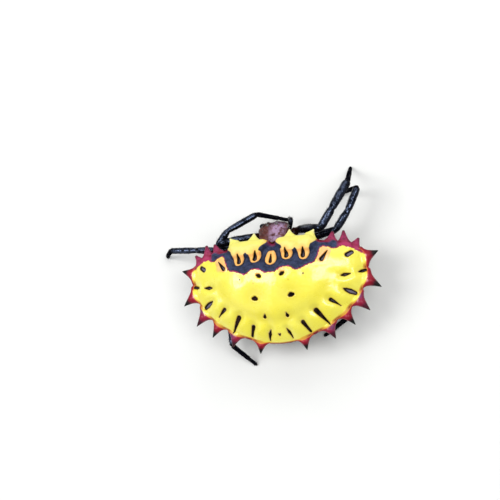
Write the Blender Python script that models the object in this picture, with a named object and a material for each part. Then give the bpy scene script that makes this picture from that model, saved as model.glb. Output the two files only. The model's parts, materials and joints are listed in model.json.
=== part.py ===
"""A spiny orb weaver, life size, standing on eight feet with its legs drawn up under a wide spined abdomen.

Lengths are in millimetres in a frame whose X points to the spider's right, Y to its head and Z up. The middle
of the abdomen is over X = Y = 0 and the feet stand on Z = 0. Each finished mesh is turned into metres, and
the whole spider is moved so that the middle of its box, seen from above, is over the origin.
"""

import math

import bmesh
import bpy
from mathutils import Matrix, Vector
from mathutils.bvhtree import BVHTree

METRES = 0.001
WELD = 1e-4

# Abdomen, in plan: a wide shield, nearly straight in front and rounded behind.
RIM_HEIGHT = 3.8
RIM_MIDDLE_Y = 0.6
HALF_WIDTH = 6.8
FRONT_DEPTH = 2.6
FRONT_POWER = 4.0
REAR_DEPTH = 4.75
REAR_POWER = 1.75
# The edge climbs from the sides towards the front corners.
FRONT_RISE = 1.3
RISE_START = math.radians(8)
RISE_END = math.radians(40)
# Heights over the edge, and the belly below it, which hangs deepest behind the middle.
CROWN = 1.97
CROWN_POWER = 0.9
EDGE_ROUND = 0.38
EDGE_FADE_POWER = 0.5
BELLY_DEPTH = 2.02
BELLY_MIDDLE_Y = -0.9
BELLY_POINT_ROUND = 0.15
# Two raised swellings on the front edge, left and right of a notch.
SWELL_INNER = 0.35
SWELL_INNER_FADE = 0.35
SWELL_OUTER = 3.4
SWELL_OUTER_FADE_IN = 0.5
SWELL_OUTER_FADE_OUT = 0.3
NOTCH_SHARE = 0.4
SWELL_FORWARD = 0.45
SWELL_RISE = 0.4
SWELL_BACK_Y = 2.3
SWELL_CLIMB = 0.6
PUSH_FROM_SHARE = 0.8
PUSH_FRONT_FROM = 0.5
PUSH_FRONT_TO = 0.9
# The trough of the front band, behind the swellings.
TROUGH_DEPTH = 0.36
TROUGH_Y = 2.0
TROUGH_HALF_WIDTH = 0.62
TROUGH_END_X = 3.4
TROUGH_FADE = 1.2
TROUGH_OFF_EDGE = 0.3
# The lobes of the edge, one under each spine.
LOBE_RISE = 0.16
LOBE_TURN = math.radians(6)
LOBE_START = 0.6
LOBE_END = 0.9
ABDOMEN_TURNS = 84
ABDOMEN_RINGS = 30

# Each spine: where it roots on the edge (degrees from the side, positive to the front), how far it stands
# out, where it points (degrees, the same way), how wide it is at the edge, and how far its tip bends up.
SIDE_SPINES = (
    (9.7, 1.08, 19, 1.02, 0.0),
    (-4.0, 1.28, -35, 1.04, -0.15),
    (-18.0, 1.26, -47, 0.98, -0.1),
    (-30.5, 1.12, -54, 0.82, -0.2),
    (-46.0, 1.02, -67, 0.92, -0.2),
    (-69.5, 0.88, -81, 0.76, -0.1),
)
CORNER_SPINES = (
    (18.3, 0.62, 56, 0.64, 0.1),
    (23.2, 0.86, 89, 0.74, 0.15),
    (29.0, 0.68, 74, 0.68, 0.1),
)
FRONT_SPINES = (
    (40.5, 0.50, 54, 0.56, 0.0),
    (61.5, 0.58, 93, 0.66, -0.1),
)
SPINE_SIDES = 6
SPINE_ROOT_DEPTH = 0.55
SPINE_ROOT_SPREAD = 2.0
SPINE_ROOT_THICKNESS = 0.45
SPINE_HOLLOW = 0.26
SPINE_TIP_RADIUS = 0.03

# Carapace, sternum and mouth.
HEAD_TURN = math.radians(3)
HEAD_MIDDLE = Vector((-0.36, 3.6, 0.0))
HEAD_HALF_LENGTH = 1.62
THORAX_HALF_WIDTH = 1.4
BROW_HALF_WIDTH = 1.18
CARAPACE_TOP = 3.85
CARAPACE_REAR_TOP = 3.15
CARAPACE_BROW_TOP = 3.45
HEAD_SEAM_REAR = 2.35
HEAD_SEAM_FRONT = 2.75
STERNUM_UNDER = 1.45
MOUTH_ROOF = 2.4
STERNUM_TUCK = 0.56
HEAD_FRONT_POWER = 6.0
HEAD_REAR_POWER = 2.6
HEAD_BOX_POWER = 0.8
# Where along the head, from -1 at its rear to 1 at its front, each change of its section starts and ends.
NECK_TO_BROW = (-0.1, 0.75)
REAR_CLIMB = (-0.9, 0.15)
BROW_FALL = (0.35, 1.0)
SEAM_CLIMB = (-0.5, 0.5)
MOUTH_CLIMB = (0.1, 0.5)
TUCK_FADE = 0.26
HEAD_SIDES = 24
HEAD_RINGS = 16
CHELICERA_ROOT = Vector((0.42, 1.22, 2.26))
CHELICERA_TIP = Vector((0.41, 1.42, 0.85))
CHELICERA_RADIUS = 0.33
MAXILLA_ROOT = Vector((0.34, 0.0, 1.62))
MAXILLA_TIP = Vector((0.25, 0.72, 1.25))
MAXILLA_RADIUS = 0.25

# Eyes on the brow: name, place across, height, and radius, with how far each looks out to the side.
EYES = (
    ("front_middle", 0.20, 3.02, 0.13, math.radians(14)),
    ("rear_middle", 0.24, 3.32, 0.13, math.radians(18)),
    ("front_side", 0.95, 2.92, 0.10, math.radians(38)),
    ("rear_side", 1.02, 3.12, 0.10, math.radians(58)),
)
EYE_LOOK_UP = 0.25
EYE_GAP = 0.03
EYE_SINK = 0.35

# Gaps between parts that touch.
JOINT_GAP = 0.14
BODY_GAP = 0.2
JOINT_END_SHARE = 0.55
JOINT_MOST_BEND = math.radians(138)

PEDICEL_RADIUS = 0.28
PEDICEL_REAR_GAP = 0.36
PEDICEL_FRONT_GAP = 0.18
PEDICEL_MIDDLE = Vector((-0.1, 1.6, 2.68))

# Spinnerets: a mound under the belly, and four tubes that lean towards each other.
SPINNERET_Y = -1.1
SPINNERET_MOUND = 0.62
SPINNERET_MOUND_DEPTH = 0.3
SPINNERET_TIP = 0.55
SPINNING_TUBE_RADIUS = 0.19
SPINNING_TUBE_ROOT_X = 0.22
SPINNING_TUBE_TIP_X = 0.1
SPINNING_TUBE_ROWS = (0.2, -0.22)
SPINNING_TUBE_SINK = 0.12
SPINNING_TUBE_SWELL = ((0.0, 1.0), (0.7, 0.9), (1.0, 0.4))

# Legs. Coxae stand round the sternum; each row: place along the body, heading out (degrees), coxa radius,
# and how far the femur arches up.
COXA_REACH_IN = 0.98
COXA_REACH_OUT = 1.66
COXA_HEIGHT_IN = 1.8
COXA_HEIGHT_OUT = 1.6
COXAE = {
    1: (0.12, 34, 0.38, 0.28),
    2: (-0.22, 8, 0.36, 0.28),
    3: (-0.60, -18, 0.34, 0.15),
    4: (-0.92, -46, 0.38, -0.06),
}
# Knee, end of the patella, end of the tibia, end of the metatarsus and foot of each leg, then the radii of
# its femur, tibia and foot.
LEGS = {
    ("right", 1): (
        ((3.50, 4.22, 4.0), (4.48, 5.60, 4.05), (5.62, 7.70, 3.2), (5.28, 8.85, 1.0), (5.15, 9.40)),
        (0.34, 0.34, 0.19),
    ),
    ("right", 2): (
        ((4.42, 4.14, 3.0), (5.47, 5.48, 3.1), (6.25, 7.18, 2.9), (4.75, 7.38, 1.0), (4.20, 7.44)),
        (0.32, 0.29, 0.18),
    ),
    ("right", 3): (
        ((3.05, 2.15, 2.35), (3.85, 1.85, 2.3), (4.75, 1.25, 1.75), (5.00, 0.70, 0.6), (5.05, 0.35)),
        (0.25, 0.22, 0.17),
    ),
    ("right", 4): (
        ((4.15, 0.75, 1.95), (4.45, -0.20, 2.0), (4.45, -2.45, 1.65), (2.95, -3.17, 0.7), (2.25, -3.42)),
        (0.30, 0.26, 0.18),
    ),
    ("left", 1): (
        ((-4.84, 3.92, 3.45), (-4.00, 4.92, 3.4), (-1.86, 6.10, 2.6), (-0.62, 5.93, 0.9), (-0.02, 5.85)),
        (0.32, 0.26, 0.18),
    ),
    ("left", 2): (
        ((-5.41, 3.64, 2.7), (-6.86, 3.77, 2.85), (-9.11, 4.03, 2.45), (-9.98, 3.98, 0.85), (-10.28, 3.96)),
        (0.30, 0.25, 0.18),
    ),
    ("left", 3): (
        ((-3.45, 2.05, 2.35), (-4.25, 1.75, 2.3), (-5.05, 1.15, 1.75), (-5.35, 0.55, 0.6), (-5.45, 0.20)),
        (0.25, 0.22, 0.17),
    ),
    ("left", 4): (
        ((-4.15, -0.4, 1.9), (-4.75, -1.3, 1.95), (-4.72, -3.72, 1.6), (-3.78, -4.74, 0.62), (-3.38, -5.18)),
        (0.30, 0.25, 0.18),
    ),
}
# Along each length, from its inner end: how far, and how wide against its full radius.
COXA_SWELL = ((0.0, 0.7), (0.15, 0.98), (0.6, 1.0), (0.88, 0.9), (1.0, 0.6))
FEMUR_SWELL = ((0.0, 0.5), (0.05, 0.7), (0.25, 0.95), (0.5, 1.0), (0.8, 0.92), (0.95, 0.78), (1.0, 0.5))
TIBIA_SWELL = (
    (0.0, 0.55),
    (0.05, 0.85),
    (0.2, 0.98),
    (0.31, 0.9),
    (0.36, 0.74),
    (0.42, 0.9),
    (0.65, 1.0),
    (0.92, 0.9),
    (1.0, 0.6),
)
FOOT_SWELL = ((0.0, 0.8), (0.04, 1.1), (0.3, 1.05), (0.58, 1.0), (0.63, 0.88), (0.85, 0.85), (1.0, 0.7))
FOOT_TIP_HEIGHT = 0.09

# Palps beside the mouth: hip, knee and tip, for the right side in the head's own frame, and the left one's.
PALPS = {
    "right": (Vector((1.02, 1.16, 2.16)), Vector((1.24, 1.76, 2.42)), Vector((0.78, 2.12, 1.15))),
    "left": (Vector((-1.02, 1.16, 2.16)), Vector((-1.2, 1.66, 2.25)), Vector((-0.84, 1.92, 1.0))),
}
PALP_RADIUS = 0.2
PALP_SWELL = ((0.0, 0.6), (0.08, 0.95), (0.5, 1.0), (0.92, 0.95), (1.0, 0.6))
PALP_TIP_SWELL = ((0.0, 0.6), (0.1, 0.95), (0.6, 1.05), (0.85, 0.85), (1.0, 0.4))

# Finishes: colour, roughness, metallic.
FINISHES = {
    "yellow_shell": ((0.93, 0.80, 0.07, 1.0), 0.3, 0.0),
    "carapace_brown": ((0.10, 0.025, 0.02, 1.0), 0.45, 0.0),
    "leg_black": ((0.012, 0.012, 0.018, 1.0), 0.35, 0.0),
    "eye_black": ((0.004, 0.004, 0.006, 1.0), 0.08, 0.0),
}

SIDES = (("right", 1), ("left", -1))


def smooth_step(start, end, value):
    """0 before start, 1 after end and a smooth climb between them."""
    share = min(max((value - start) / (end - start), 0.0), 1.0)
    return share * share * (3.0 - 2.0 * share)


def mix(first, second, share):
    """The value a share of the way from first to second."""
    return first + (second - first) * share


# Scene and finishing


def clear_scene():
    """Removes every object that the file opened with."""
    for obj in list(bpy.data.objects):
        bpy.data.objects.remove(obj, do_unlink=True)


def make_finish(name):
    """A Principled material of the named finish."""
    colour, roughness, metallic = FINISHES[name]
    finish = bpy.data.materials.get(name) or bpy.data.materials.new(name)
    finish.use_nodes = True
    shader = finish.node_tree.nodes["Principled BSDF"]
    shader.inputs["Base Color"].default_value = colour
    shader.inputs["Roughness"].default_value = roughness
    shader.inputs["Metallic"].default_value = metallic
    return finish


def new_object(name, form, collection):
    """A mesh object made from a bmesh, which is freed."""
    mesh = bpy.data.meshes.new(name)
    form.to_mesh(mesh)
    form.free()
    obj = bpy.data.objects.new(name, mesh)
    collection.objects.link(obj)
    return obj


def finish_part(obj, finish):
    """Rounds the shading and gives the part its finish."""
    obj.data.materials.clear()
    obj.data.materials.append(make_finish(finish))
    obj.data.shade_smooth()
    obj.data.set_sharp_from_angle(angle=math.radians(50))


def keep_largest(mesh):
    """Leaves only the largest closed surface of a joined mesh."""
    form = bmesh.new()
    form.from_mesh(mesh)
    bmesh.ops.remove_doubles(form, verts=form.verts, dist=WELD)
    unseen = set(form.verts)
    groups = []
    while unseen:
        group = {unseen.pop()}
        edge_of_group = list(group)
        while edge_of_group:
            for edge in edge_of_group.pop().link_edges:
                for vert in edge.verts:
                    if vert in unseen:
                        unseen.remove(vert)
                        group.add(vert)
                        edge_of_group.append(vert)
        groups.append(group)
    largest = max(groups, key=len)
    dropped = [vert for vert in form.verts if vert not in largest]
    bmesh.ops.delete(form, geom=dropped, context="VERTS")
    bmesh.ops.triangulate(form, faces=form.faces)
    form.to_mesh(mesh)
    form.free()


def join_pieces(name, body, pieces, parts):
    """One closed mesh of a body and the pieces rooted in it."""
    roots = bpy.data.collections.new(name + "_pieces")
    bpy.context.scene.collection.children.link(roots)
    for piece in pieces:
        roots.objects.link(piece)
        parts.objects.unlink(piece)
    union = body.modifiers.new("join", "BOOLEAN")
    union.operation = "UNION"
    union.solver = "EXACT"
    union.operand_type = "COLLECTION"
    union.collection = roots
    graph = bpy.context.evaluated_depsgraph_get()
    joined = bpy.data.meshes.new_from_object(body.evaluated_get(graph))
    body.modifiers.remove(union)
    for piece in pieces:
        bpy.data.objects.remove(piece, do_unlink=True)
    bpy.data.collections.remove(roots)
    keep_largest(joined)
    body.data = joined
    body.name = name


# Tubes and limbs


def along(start, end, share):
    """The point a share of the way along a straight line."""
    return start.lerp(end, share)


def tube(name, route, collection, flat_under=None):
    """A closed round tube through (point, radius) pairs, cut level at the height flat_under if given."""
    curve = bpy.data.curves.new(name, "CURVE")
    curve.dimensions = "3D"
    curve.bevel_depth = 1.0
    curve.bevel_resolution = 2
    curve.use_fill_caps = True
    spline = curve.splines.new("POLY")
    spline.points.add(len(route) - 1)
    for point, (place, radius) in zip(spline.points, route):
        point.co = (*place, 1.0)
        point.radius = radius
    guide = bpy.data.objects.new(name + "_guide", curve)
    collection.objects.link(guide)
    graph = bpy.context.evaluated_depsgraph_get()
    mesh = bpy.data.meshes.new_from_object(guide.evaluated_get(graph))
    bpy.data.objects.remove(guide, do_unlink=True)
    form = bmesh.new()
    form.from_mesh(mesh)
    bmesh.ops.remove_doubles(form, verts=form.verts, dist=WELD)
    if flat_under is not None:
        cut = bmesh.ops.bisect_plane(
            form,
            geom=form.verts[:] + form.edges[:] + form.faces[:],
            dist=1e-5,
            plane_co=(0, 0, flat_under),
            plane_no=(0, 0, -1),
            clear_outer=True,
        )
        rim = [item for item in cut["geom_cut"] if isinstance(item, bmesh.types.BMEdge)]
        bmesh.ops.holes_fill(form, edges=rim)
    bmesh.ops.triangulate(form, faces=form.faces)
    bmesh.ops.recalc_face_normals(form, faces=form.faces)
    return new_object(name, form, collection)


def limb(name, joints, radius, swell, gaps, collection, arch=0.0, flat_under=None):
    """A limb length through its joints, swelling along its way, that stops short of its neighbours."""
    first = joints[0] + (joints[1] - joints[0]).normalized() * gaps[0]
    last = joints[-1] + (joints[-2] - joints[-1]).normalized() * gaps[1]
    points = [first, *joints[1:-1], last]
    steps = [(b - a).length for a, b in zip(points, points[1:])]
    total = sum(steps)
    marks = [sum(steps[:index]) / total for index in range(len(points))]
    route = []
    for share, width in swell:
        index = max(i for i in range(len(steps)) if marks[i] <= share + 1e-9)
        local = (share - marks[index]) * total / steps[index]
        place = along(points[index], points[index + 1], local)
        place = place + Vector((0, 0, arch * 4.0 * share * (1.0 - share)))
        route.append((place, radius * width))
    return tube(name, route, collection, flat_under)


# Abdomen


def outline_radius(turn):
    """From the middle of the edge to the edge itself, in plan."""
    depth, power = (FRONT_DEPTH, FRONT_POWER) if math.sin(turn) > 0 else (REAR_DEPTH, REAR_POWER)
    across = abs(math.cos(turn) / HALF_WIDTH) ** power
    lengthwise = abs(math.sin(turn) / depth) ** power
    return (across + lengthwise) ** (-1.0 / power)


def side_angle(turn):
    """The turn folded to one side: 0 at the side, positive to the front, negative to the rear."""
    return math.atan2(math.sin(turn), abs(math.cos(turn)))


def edge_rise(turn):
    """How far the edge climbs towards the front."""
    return FRONT_RISE * smooth_step(RISE_START, RISE_END, side_angle(turn))


def swelling(across, in_notch=0.0):
    """1 on the two raised swellings of the front edge, less in the notch between them and 0 beside them."""
    inner = smooth_step(SWELL_INNER - SWELL_INNER_FADE, SWELL_INNER + SWELL_INNER_FADE, abs(across))
    fading = smooth_step(SWELL_OUTER - SWELL_OUTER_FADE_IN, SWELL_OUTER + SWELL_OUTER_FADE_OUT, abs(across))
    return mix(in_notch, 1.0, inner) * (1.0 - fading)


def lobe(turn):
    """1 under each rear and side spine, falling to 0 between them."""
    angle = math.degrees(side_angle(turn))
    width = math.degrees(LOBE_TURN)
    return max(math.exp(-(((angle - spine[0]) / width) ** 2)) for spine in SIDE_SPINES)


def trough(across, forward):
    """How deep the front band lies under the skin round it."""
    off_middle = (forward - TROUGH_Y) / TROUGH_HALF_WIDTH
    fading = 1.0 - smooth_step(TROUGH_END_X, TROUGH_END_X + TROUGH_FADE, abs(across))
    return TROUGH_DEPTH * math.exp(-(off_middle**2)) * fading


def abdomen_point(turn, lift):
    """The abdomen's skin at a turn round it and a lift over its edge, as a ball's latitude."""
    share = math.cos(lift)
    reach = outline_radius(turn) * share
    rounding = EDGE_ROUND * math.sin(lift)
    across = math.cos(turn) * reach
    rise = edge_rise(turn) * share**2
    if lift >= 0:
        forward = RIM_MIDDLE_Y + math.sin(turn) * reach
        over_edge = math.sin(lift) ** EDGE_FADE_POWER
        height = rise + rounding + CROWN * (1.0 - share * share) ** CROWN_POWER
        height += LOBE_RISE * lobe(turn) * smooth_step(LOBE_START, LOBE_END, share) * over_edge
        front = swelling(across) * smooth_step(SWELL_BACK_Y, SWELL_BACK_Y + SWELL_CLIMB, forward)
        height += SWELL_RISE * front * over_edge
        height -= trough(across, forward) * smooth_step(0.0, TROUGH_OFF_EDGE, math.sin(lift))
    else:
        forward = mix(BELLY_MIDDLE_Y, RIM_MIDDLE_Y, share) + math.sin(turn) * reach
        slope = math.hypot(share, BELLY_POINT_ROUND) - BELLY_POINT_ROUND
        slope_at_edge = math.hypot(1.0, BELLY_POINT_ROUND) - BELLY_POINT_ROUND
        height = rise + rounding - BELLY_DEPTH * (1.0 - slope / slope_at_edge)
    pushed = SWELL_FORWARD * swelling(across, NOTCH_SHARE) * smooth_step(PUSH_FROM_SHARE, 1.0, share)
    if math.sin(turn) > 0:
        frontness = math.sin(turn) * reach / FRONT_DEPTH
        forward += pushed * smooth_step(PUSH_FRONT_FROM, PUSH_FRONT_TO, frontness)
    return Vector((across, forward, RIM_HEIGHT + height))


def spine(row, side, collection):
    """One thorn, wide at its sunk root and hollowed towards its point like a rose's."""
    turn_out, length, heading, width, bend = row
    turn = math.radians(turn_out if side > 0 else 180 - turn_out)
    point = math.radians(heading if side > 0 else 180 - heading)
    root = abdomen_point(turn, 0.0)
    way = Vector((math.cos(point), math.sin(point), 0.0))
    full = length + SPINE_ROOT_DEPTH
    thorn = bmesh.new()
    bmesh.ops.create_cone(
        thorn,
        cap_ends=True,
        segments=SPINE_SIDES,
        radius1=width / 2 * SPINE_ROOT_SPREAD,
        radius2=SPINE_TIP_RADIUS,
        depth=full,
    )
    flanks = [edge for edge in thorn.edges if abs(edge.verts[0].co.z - edge.verts[1].co.z) > full / 2]
    bmesh.ops.subdivide_edges(thorn, edges=flanks, cuts=1)
    for vert in thorn.verts:
        share = vert.co.z / full + 0.5
        hollow = 1.0 - 4.0 * SPINE_HOLLOW * share * (1.0 - share)
        thickness = hollow * mix(SPINE_ROOT_THICKNESS, 1.0, share)
        vert.co = Vector((vert.co.x * hollow, vert.co.y * thickness, share * full))
    turned = way.to_track_quat("Z", "Y").to_matrix().to_4x4()
    to_root = Matrix.Translation(root - way * SPINE_ROOT_DEPTH) @ turned
    for vert in thorn.verts:
        share = vert.co.z / full
        vert.co = to_root @ vert.co + Vector((0, 0, bend * share * share))
    bmesh.ops.triangulate(thorn, faces=thorn.faces)
    bmesh.ops.recalc_face_normals(thorn, faces=thorn.faces)
    return new_object("thorn", thorn, collection)


def make_abdomen(parts):
    """The shield-shaped abdomen with its twenty-two spines."""
    form = bmesh.new()
    bmesh.ops.create_uvsphere(form, u_segments=ABDOMEN_TURNS, v_segments=ABDOMEN_RINGS, radius=1.0)
    for vert in form.verts:
        turn = math.atan2(vert.co.y, vert.co.x)
        lift = math.asin(min(max(vert.co.z, -1.0), 1.0))
        vert.co = abdomen_point(turn, lift)
    bmesh.ops.triangulate(form, faces=form.faces)
    body = new_object("abdomen", form, parts)
    thorns = []
    for _, side in SIDES:
        for row in SIDE_SPINES + CORNER_SPINES + FRONT_SPINES:
            thorns.append(spine(row, side, parts))
    join_pieces("abdomen", body, thorns, parts)
    finish_part(body, "yellow_shell")
    return body


# Head


def head_place(local):
    """A point given across, along and up in the head's own frame, in the spider's frame."""
    turned = Matrix.Rotation(HEAD_TURN, 3, "Z") @ Vector((local.x, local.y, 0.0))
    return Vector((HEAD_MIDDLE.x + turned.x, HEAD_MIDDLE.y + turned.y, local.z))


def head_point(around, share):
    """The head's skin at an angle round its length and a share of its half length, -1 rear to 1 front."""
    power = HEAD_FRONT_POWER if share > 0 else HEAD_REAR_POWER
    fullness = max(1.0 - abs(share) ** power, 0.0) ** (1.0 / power)
    width = mix(THORAX_HALF_WIDTH, BROW_HALF_WIDTH, smooth_step(*NECK_TO_BROW, share))
    rear_top = mix(CARAPACE_REAR_TOP, CARAPACE_TOP, smooth_step(*REAR_CLIMB, share))
    top = mix(rear_top, CARAPACE_BROW_TOP, smooth_step(*BROW_FALL, share))
    middle = mix(HEAD_SEAM_REAR, HEAD_SEAM_FRONT, smooth_step(*SEAM_CLIMB, share))
    across = math.cos(around)
    up = math.sin(around)
    across_full = math.copysign(abs(across) ** HEAD_BOX_POWER, across)
    up_full = math.copysign(abs(up) ** HEAD_BOX_POWER, up)
    under = mix(STERNUM_UNDER, MOUTH_ROOF, smooth_step(*MOUTH_CLIMB, share))
    height = (top - middle) if up > 0 else (middle - under)
    tuck = mix(1.0, STERNUM_TUCK, smooth_step(0.0, TUCK_FADE, -up))
    reach = width * fullness * across_full * tuck
    return Vector((reach, HEAD_HALF_LENGTH * share, middle + height * fullness * up_full))


def make_cephalothorax(parts):
    """Carapace and sternum in one body, with the two lobes beside the mouth."""
    form = bmesh.new()
    bmesh.ops.create_uvsphere(form, u_segments=HEAD_SIDES, v_segments=HEAD_RINGS, radius=1.0)
    for vert in form.verts:
        lift = math.asin(min(max(vert.co.z, -1.0), 1.0))
        share = math.copysign(abs(math.sin(lift)) ** HEAD_BOX_POWER, lift)
        around = math.atan2(vert.co.y, -vert.co.x)
        vert.co = head_place(head_point(around, share))
    bmesh.ops.triangulate(form, faces=form.faces)
    bmesh.ops.recalc_face_normals(form, faces=form.faces)
    body = new_object("cephalothorax", form, parts)
    lobes = []
    for _, side in SIDES:
        root = head_place(Vector((MAXILLA_ROOT.x * side, MAXILLA_ROOT.y, MAXILLA_ROOT.z)))
        tip = head_place(Vector((MAXILLA_TIP.x * side, MAXILLA_TIP.y, MAXILLA_TIP.z)))
        route = [(along(root, tip, share), MAXILLA_RADIUS * width) for share, width in PALP_TIP_SWELL]
        lobes.append(tube("maxilla", route, parts))
    join_pieces("cephalothorax", body, lobes, parts)
    finish_part(body, "carapace_brown")
    return body


def surface_of(obj):
    """A search tree of a part's skin, still in millimetres."""
    form = bmesh.new()
    form.from_mesh(obj.data)
    tree = BVHTree.FromBMesh(form)
    form.free()
    return tree


def make_eyes(head, parts):
    """Eight low domes, each seated on the brow."""
    skin = surface_of(head)
    for name, across, height, radius, outward in EYES:
        for side_name, side in SIDES:
            look = Vector((math.sin(outward) * side, math.cos(outward), EYE_LOOK_UP)).normalized()
            look = Matrix.Rotation(HEAD_TURN, 3, "Z") @ look
            target = head_place(Vector((across * side, 1.0, height)))
            seat = skin.ray_cast(target + look * 3.0, -look)
            form = bmesh.new()
            bmesh.ops.create_uvsphere(form, u_segments=10, v_segments=8, radius=radius)
            cut = bmesh.ops.bisect_plane(
                form,
                geom=form.verts[:] + form.edges[:] + form.faces[:],
                dist=1e-5,
                plane_co=(0, 0, -radius * EYE_SINK),
                plane_no=(0, 0, -1),
                clear_outer=True,
            )
            rim = [item for item in cut["geom_cut"] if isinstance(item, bmesh.types.BMEdge)]
            bmesh.ops.holes_fill(form, edges=rim)
            turned = seat[1].to_track_quat("Z", "Y").to_matrix().to_4x4()
            centre = seat[0] + seat[1] * (EYE_GAP + radius * EYE_SINK)
            bmesh.ops.transform(form, verts=form.verts, matrix=Matrix.Translation(centre) @ turned)
            bmesh.ops.triangulate(form, faces=form.faces)
            eye = new_object(f"eye_{name}_{side_name}", form, parts)
            finish_part(eye, "eye_black")


def make_mouthparts(parts):
    """The pair of chelicerae and the pair of palps."""
    for side_name, side in SIDES:
        root = head_place(Vector((CHELICERA_ROOT.x * side, CHELICERA_ROOT.y, CHELICERA_ROOT.z)))
        tip = head_place(Vector((CHELICERA_TIP.x * side, CHELICERA_TIP.y, CHELICERA_TIP.z)))
        route = [(along(root, tip, share), CHELICERA_RADIUS * width) for share, width in PALP_TIP_SWELL]
        chelicera = tube(f"chelicera_{side_name}", route, parts)
        finish_part(chelicera, "carapace_brown")
        hip, knee, end = (head_place(point) for point in PALPS[side_name])
        room = joint_room(hip, knee, end, PALP_RADIUS)
        inner = limb(f"palp_{side_name}_inner", (hip, knee), PALP_RADIUS, PALP_SWELL, (0.0, room), parts)
        outer = limb(f"palp_{side_name}_outer", (knee, end), PALP_RADIUS, PALP_TIP_SWELL, (room, 0.0), parts)
        finish_part(inner, "leg_black")
        finish_part(outer, "leg_black")


def make_pedicel(head, abdomen, parts):
    """The narrow waist between the carapace and the abdomen."""
    back = surface_of(abdomen).ray_cast(PEDICEL_MIDDLE, Vector((0, -1, 0)))[0]
    front = surface_of(head).ray_cast(PEDICEL_MIDDLE, Vector((0, 1, 0)))[0]
    start = back + Vector((0, PEDICEL_REAR_GAP, 0))
    end = front - Vector((0, PEDICEL_FRONT_GAP, 0))
    swell = ((0.0, 0.8), (0.2, 1.0), (0.8, 1.0), (1.0, 0.8))
    route = [(along(start, end, share), PEDICEL_RADIUS * width) for share, width in swell]
    pedicel = tube("pedicel", route, parts)
    finish_part(pedicel, "carapace_brown")


def make_spinnerets(abdomen, parts):
    """The mound under the belly with its four short spinning tubes."""
    skin = surface_of(abdomen)
    middle = Vector((0, SPINNERET_Y, 0))
    lowest = RIM_HEIGHT
    for step in range(8):
        turn = math.tau * step / 8
        below = middle + Vector((math.cos(turn), math.sin(turn), 0)) * SPINNERET_MOUND
        lowest = min(lowest, skin.ray_cast(below, Vector((0, 0, 1)))[0].z)
    top = Vector((0, SPINNERET_Y, lowest - BODY_GAP))
    foot = top - Vector((0, 0, SPINNERET_MOUND_DEPTH))
    swell = ((0.0, 1.0), (0.6, 0.9), (1.0, 0.7))
    route = [(along(top, foot, share), SPINNERET_MOUND * width) for share, width in swell]
    mound = tube("spinnerets", route, parts)
    tubes = []
    for forward in SPINNING_TUBE_ROWS:
        for _, side in SIDES:
            start = Vector((side * SPINNING_TUBE_ROOT_X, SPINNERET_Y + forward, top.z - SPINNING_TUBE_SINK))
            end = Vector((side * SPINNING_TUBE_TIP_X, SPINNERET_Y + forward, SPINNERET_TIP))
            radius = SPINNING_TUBE_RADIUS
            route = [(along(start, end, share), radius * width) for share, width in SPINNING_TUBE_SWELL]
            tubes.append(tube("spinning_tube", route, parts))
    join_pieces("spinnerets", mound, tubes, parts)
    finish_part(mound, "leg_black")


# Legs


def joint_room(before, joint, after, radius):
    """How far two lengths stop short of their joint, so that their ends clear each other at its bend."""
    bend = min((joint - before).angle(after - joint), JOINT_MOST_BEND)
    return JOINT_GAP / 2 + JOINT_END_SHARE * radius * math.tan(bend / 2)


def make_leg(side_name, side, number, parts):
    """Coxa, femur, patella with tibia, and foot of one leg."""
    places, (femur_radius, tibia_radius, foot_radius) = LEGS[side_name, number]
    knee, patella_end, tibia_end, metatarsus_end = (Vector(place) for place in places[:4])
    foot = Vector((*places[4], FOOT_TIP_HEIGHT))
    along_body, heading, coxa_radius, arch = COXAE[number]
    way = Vector((math.cos(math.radians(heading)) * side, math.sin(math.radians(heading)), 0.0))
    inner = Vector((0.0, along_body, COXA_HEIGHT_IN)) + way * COXA_REACH_IN
    outer = Vector((0.0, along_body, COXA_HEIGHT_OUT)) + way * COXA_REACH_OUT
    coxa_in = head_place(inner)
    hip = head_place(outer)
    hip_room = joint_room(coxa_in, hip, knee, femur_radius)
    knee_room = joint_room(hip, knee, patella_end, femur_radius)
    ankle_room = joint_room(patella_end, tibia_end, metatarsus_end, tibia_radius)
    shin = (knee, patella_end, tibia_end)
    last = (tibia_end, metatarsus_end, foot)
    lengths = (
        ("coxa", (coxa_in, hip), coxa_radius, COXA_SWELL, (0.0, hip_room), 0.0, None),
        ("femur", (hip, knee), femur_radius, FEMUR_SWELL, (hip_room, knee_room), arch, None),
        ("tibia", shin, tibia_radius, TIBIA_SWELL, (knee_room, ankle_room), 0.0, None),
        ("foot", last, foot_radius, FOOT_SWELL, (ankle_room, 0.0), 0.0, 0.0),
    )
    for name, joints, radius, swell, gaps, bow, flat_under in lengths:
        node = f"leg{number}_{side_name}_{name}"
        made = limb(node, joints, radius, swell, gaps, parts, bow, flat_under)
        finish_part(made, "leg_black")


def to_metres(parts):
    """Moves the box's middle over the origin, feet on zero height, and turns millimetres into metres."""
    corners = [vert.co for obj in parts.objects for vert in obj.data.vertices]
    low = Vector(min(co[axis] for co in corners) for axis in range(3))
    high = Vector(max(co[axis] for co in corners) for axis in range(3))
    shift = Matrix.Translation(Vector((-(low.x + high.x) / 2, -(low.y + high.y) / 2, -low.z)))
    for obj in parts.objects:
        obj.data.transform(Matrix.Scale(METRES, 4) @ shift)


def main():
    clear_scene()
    parts = bpy.data.collections.new("spiny_orb_weaver")
    bpy.context.scene.collection.children.link(parts)
    abdomen = make_abdomen(parts)
    head = make_cephalothorax(parts)
    make_eyes(head, parts)
    make_mouthparts(parts)
    make_pedicel(head, abdomen, parts)
    make_spinnerets(abdomen, parts)
    for side_name, side in SIDES:
        for number in COXAE:
            make_leg(side_name, side, number, parts)
    to_metres(parts)


main()
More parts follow.
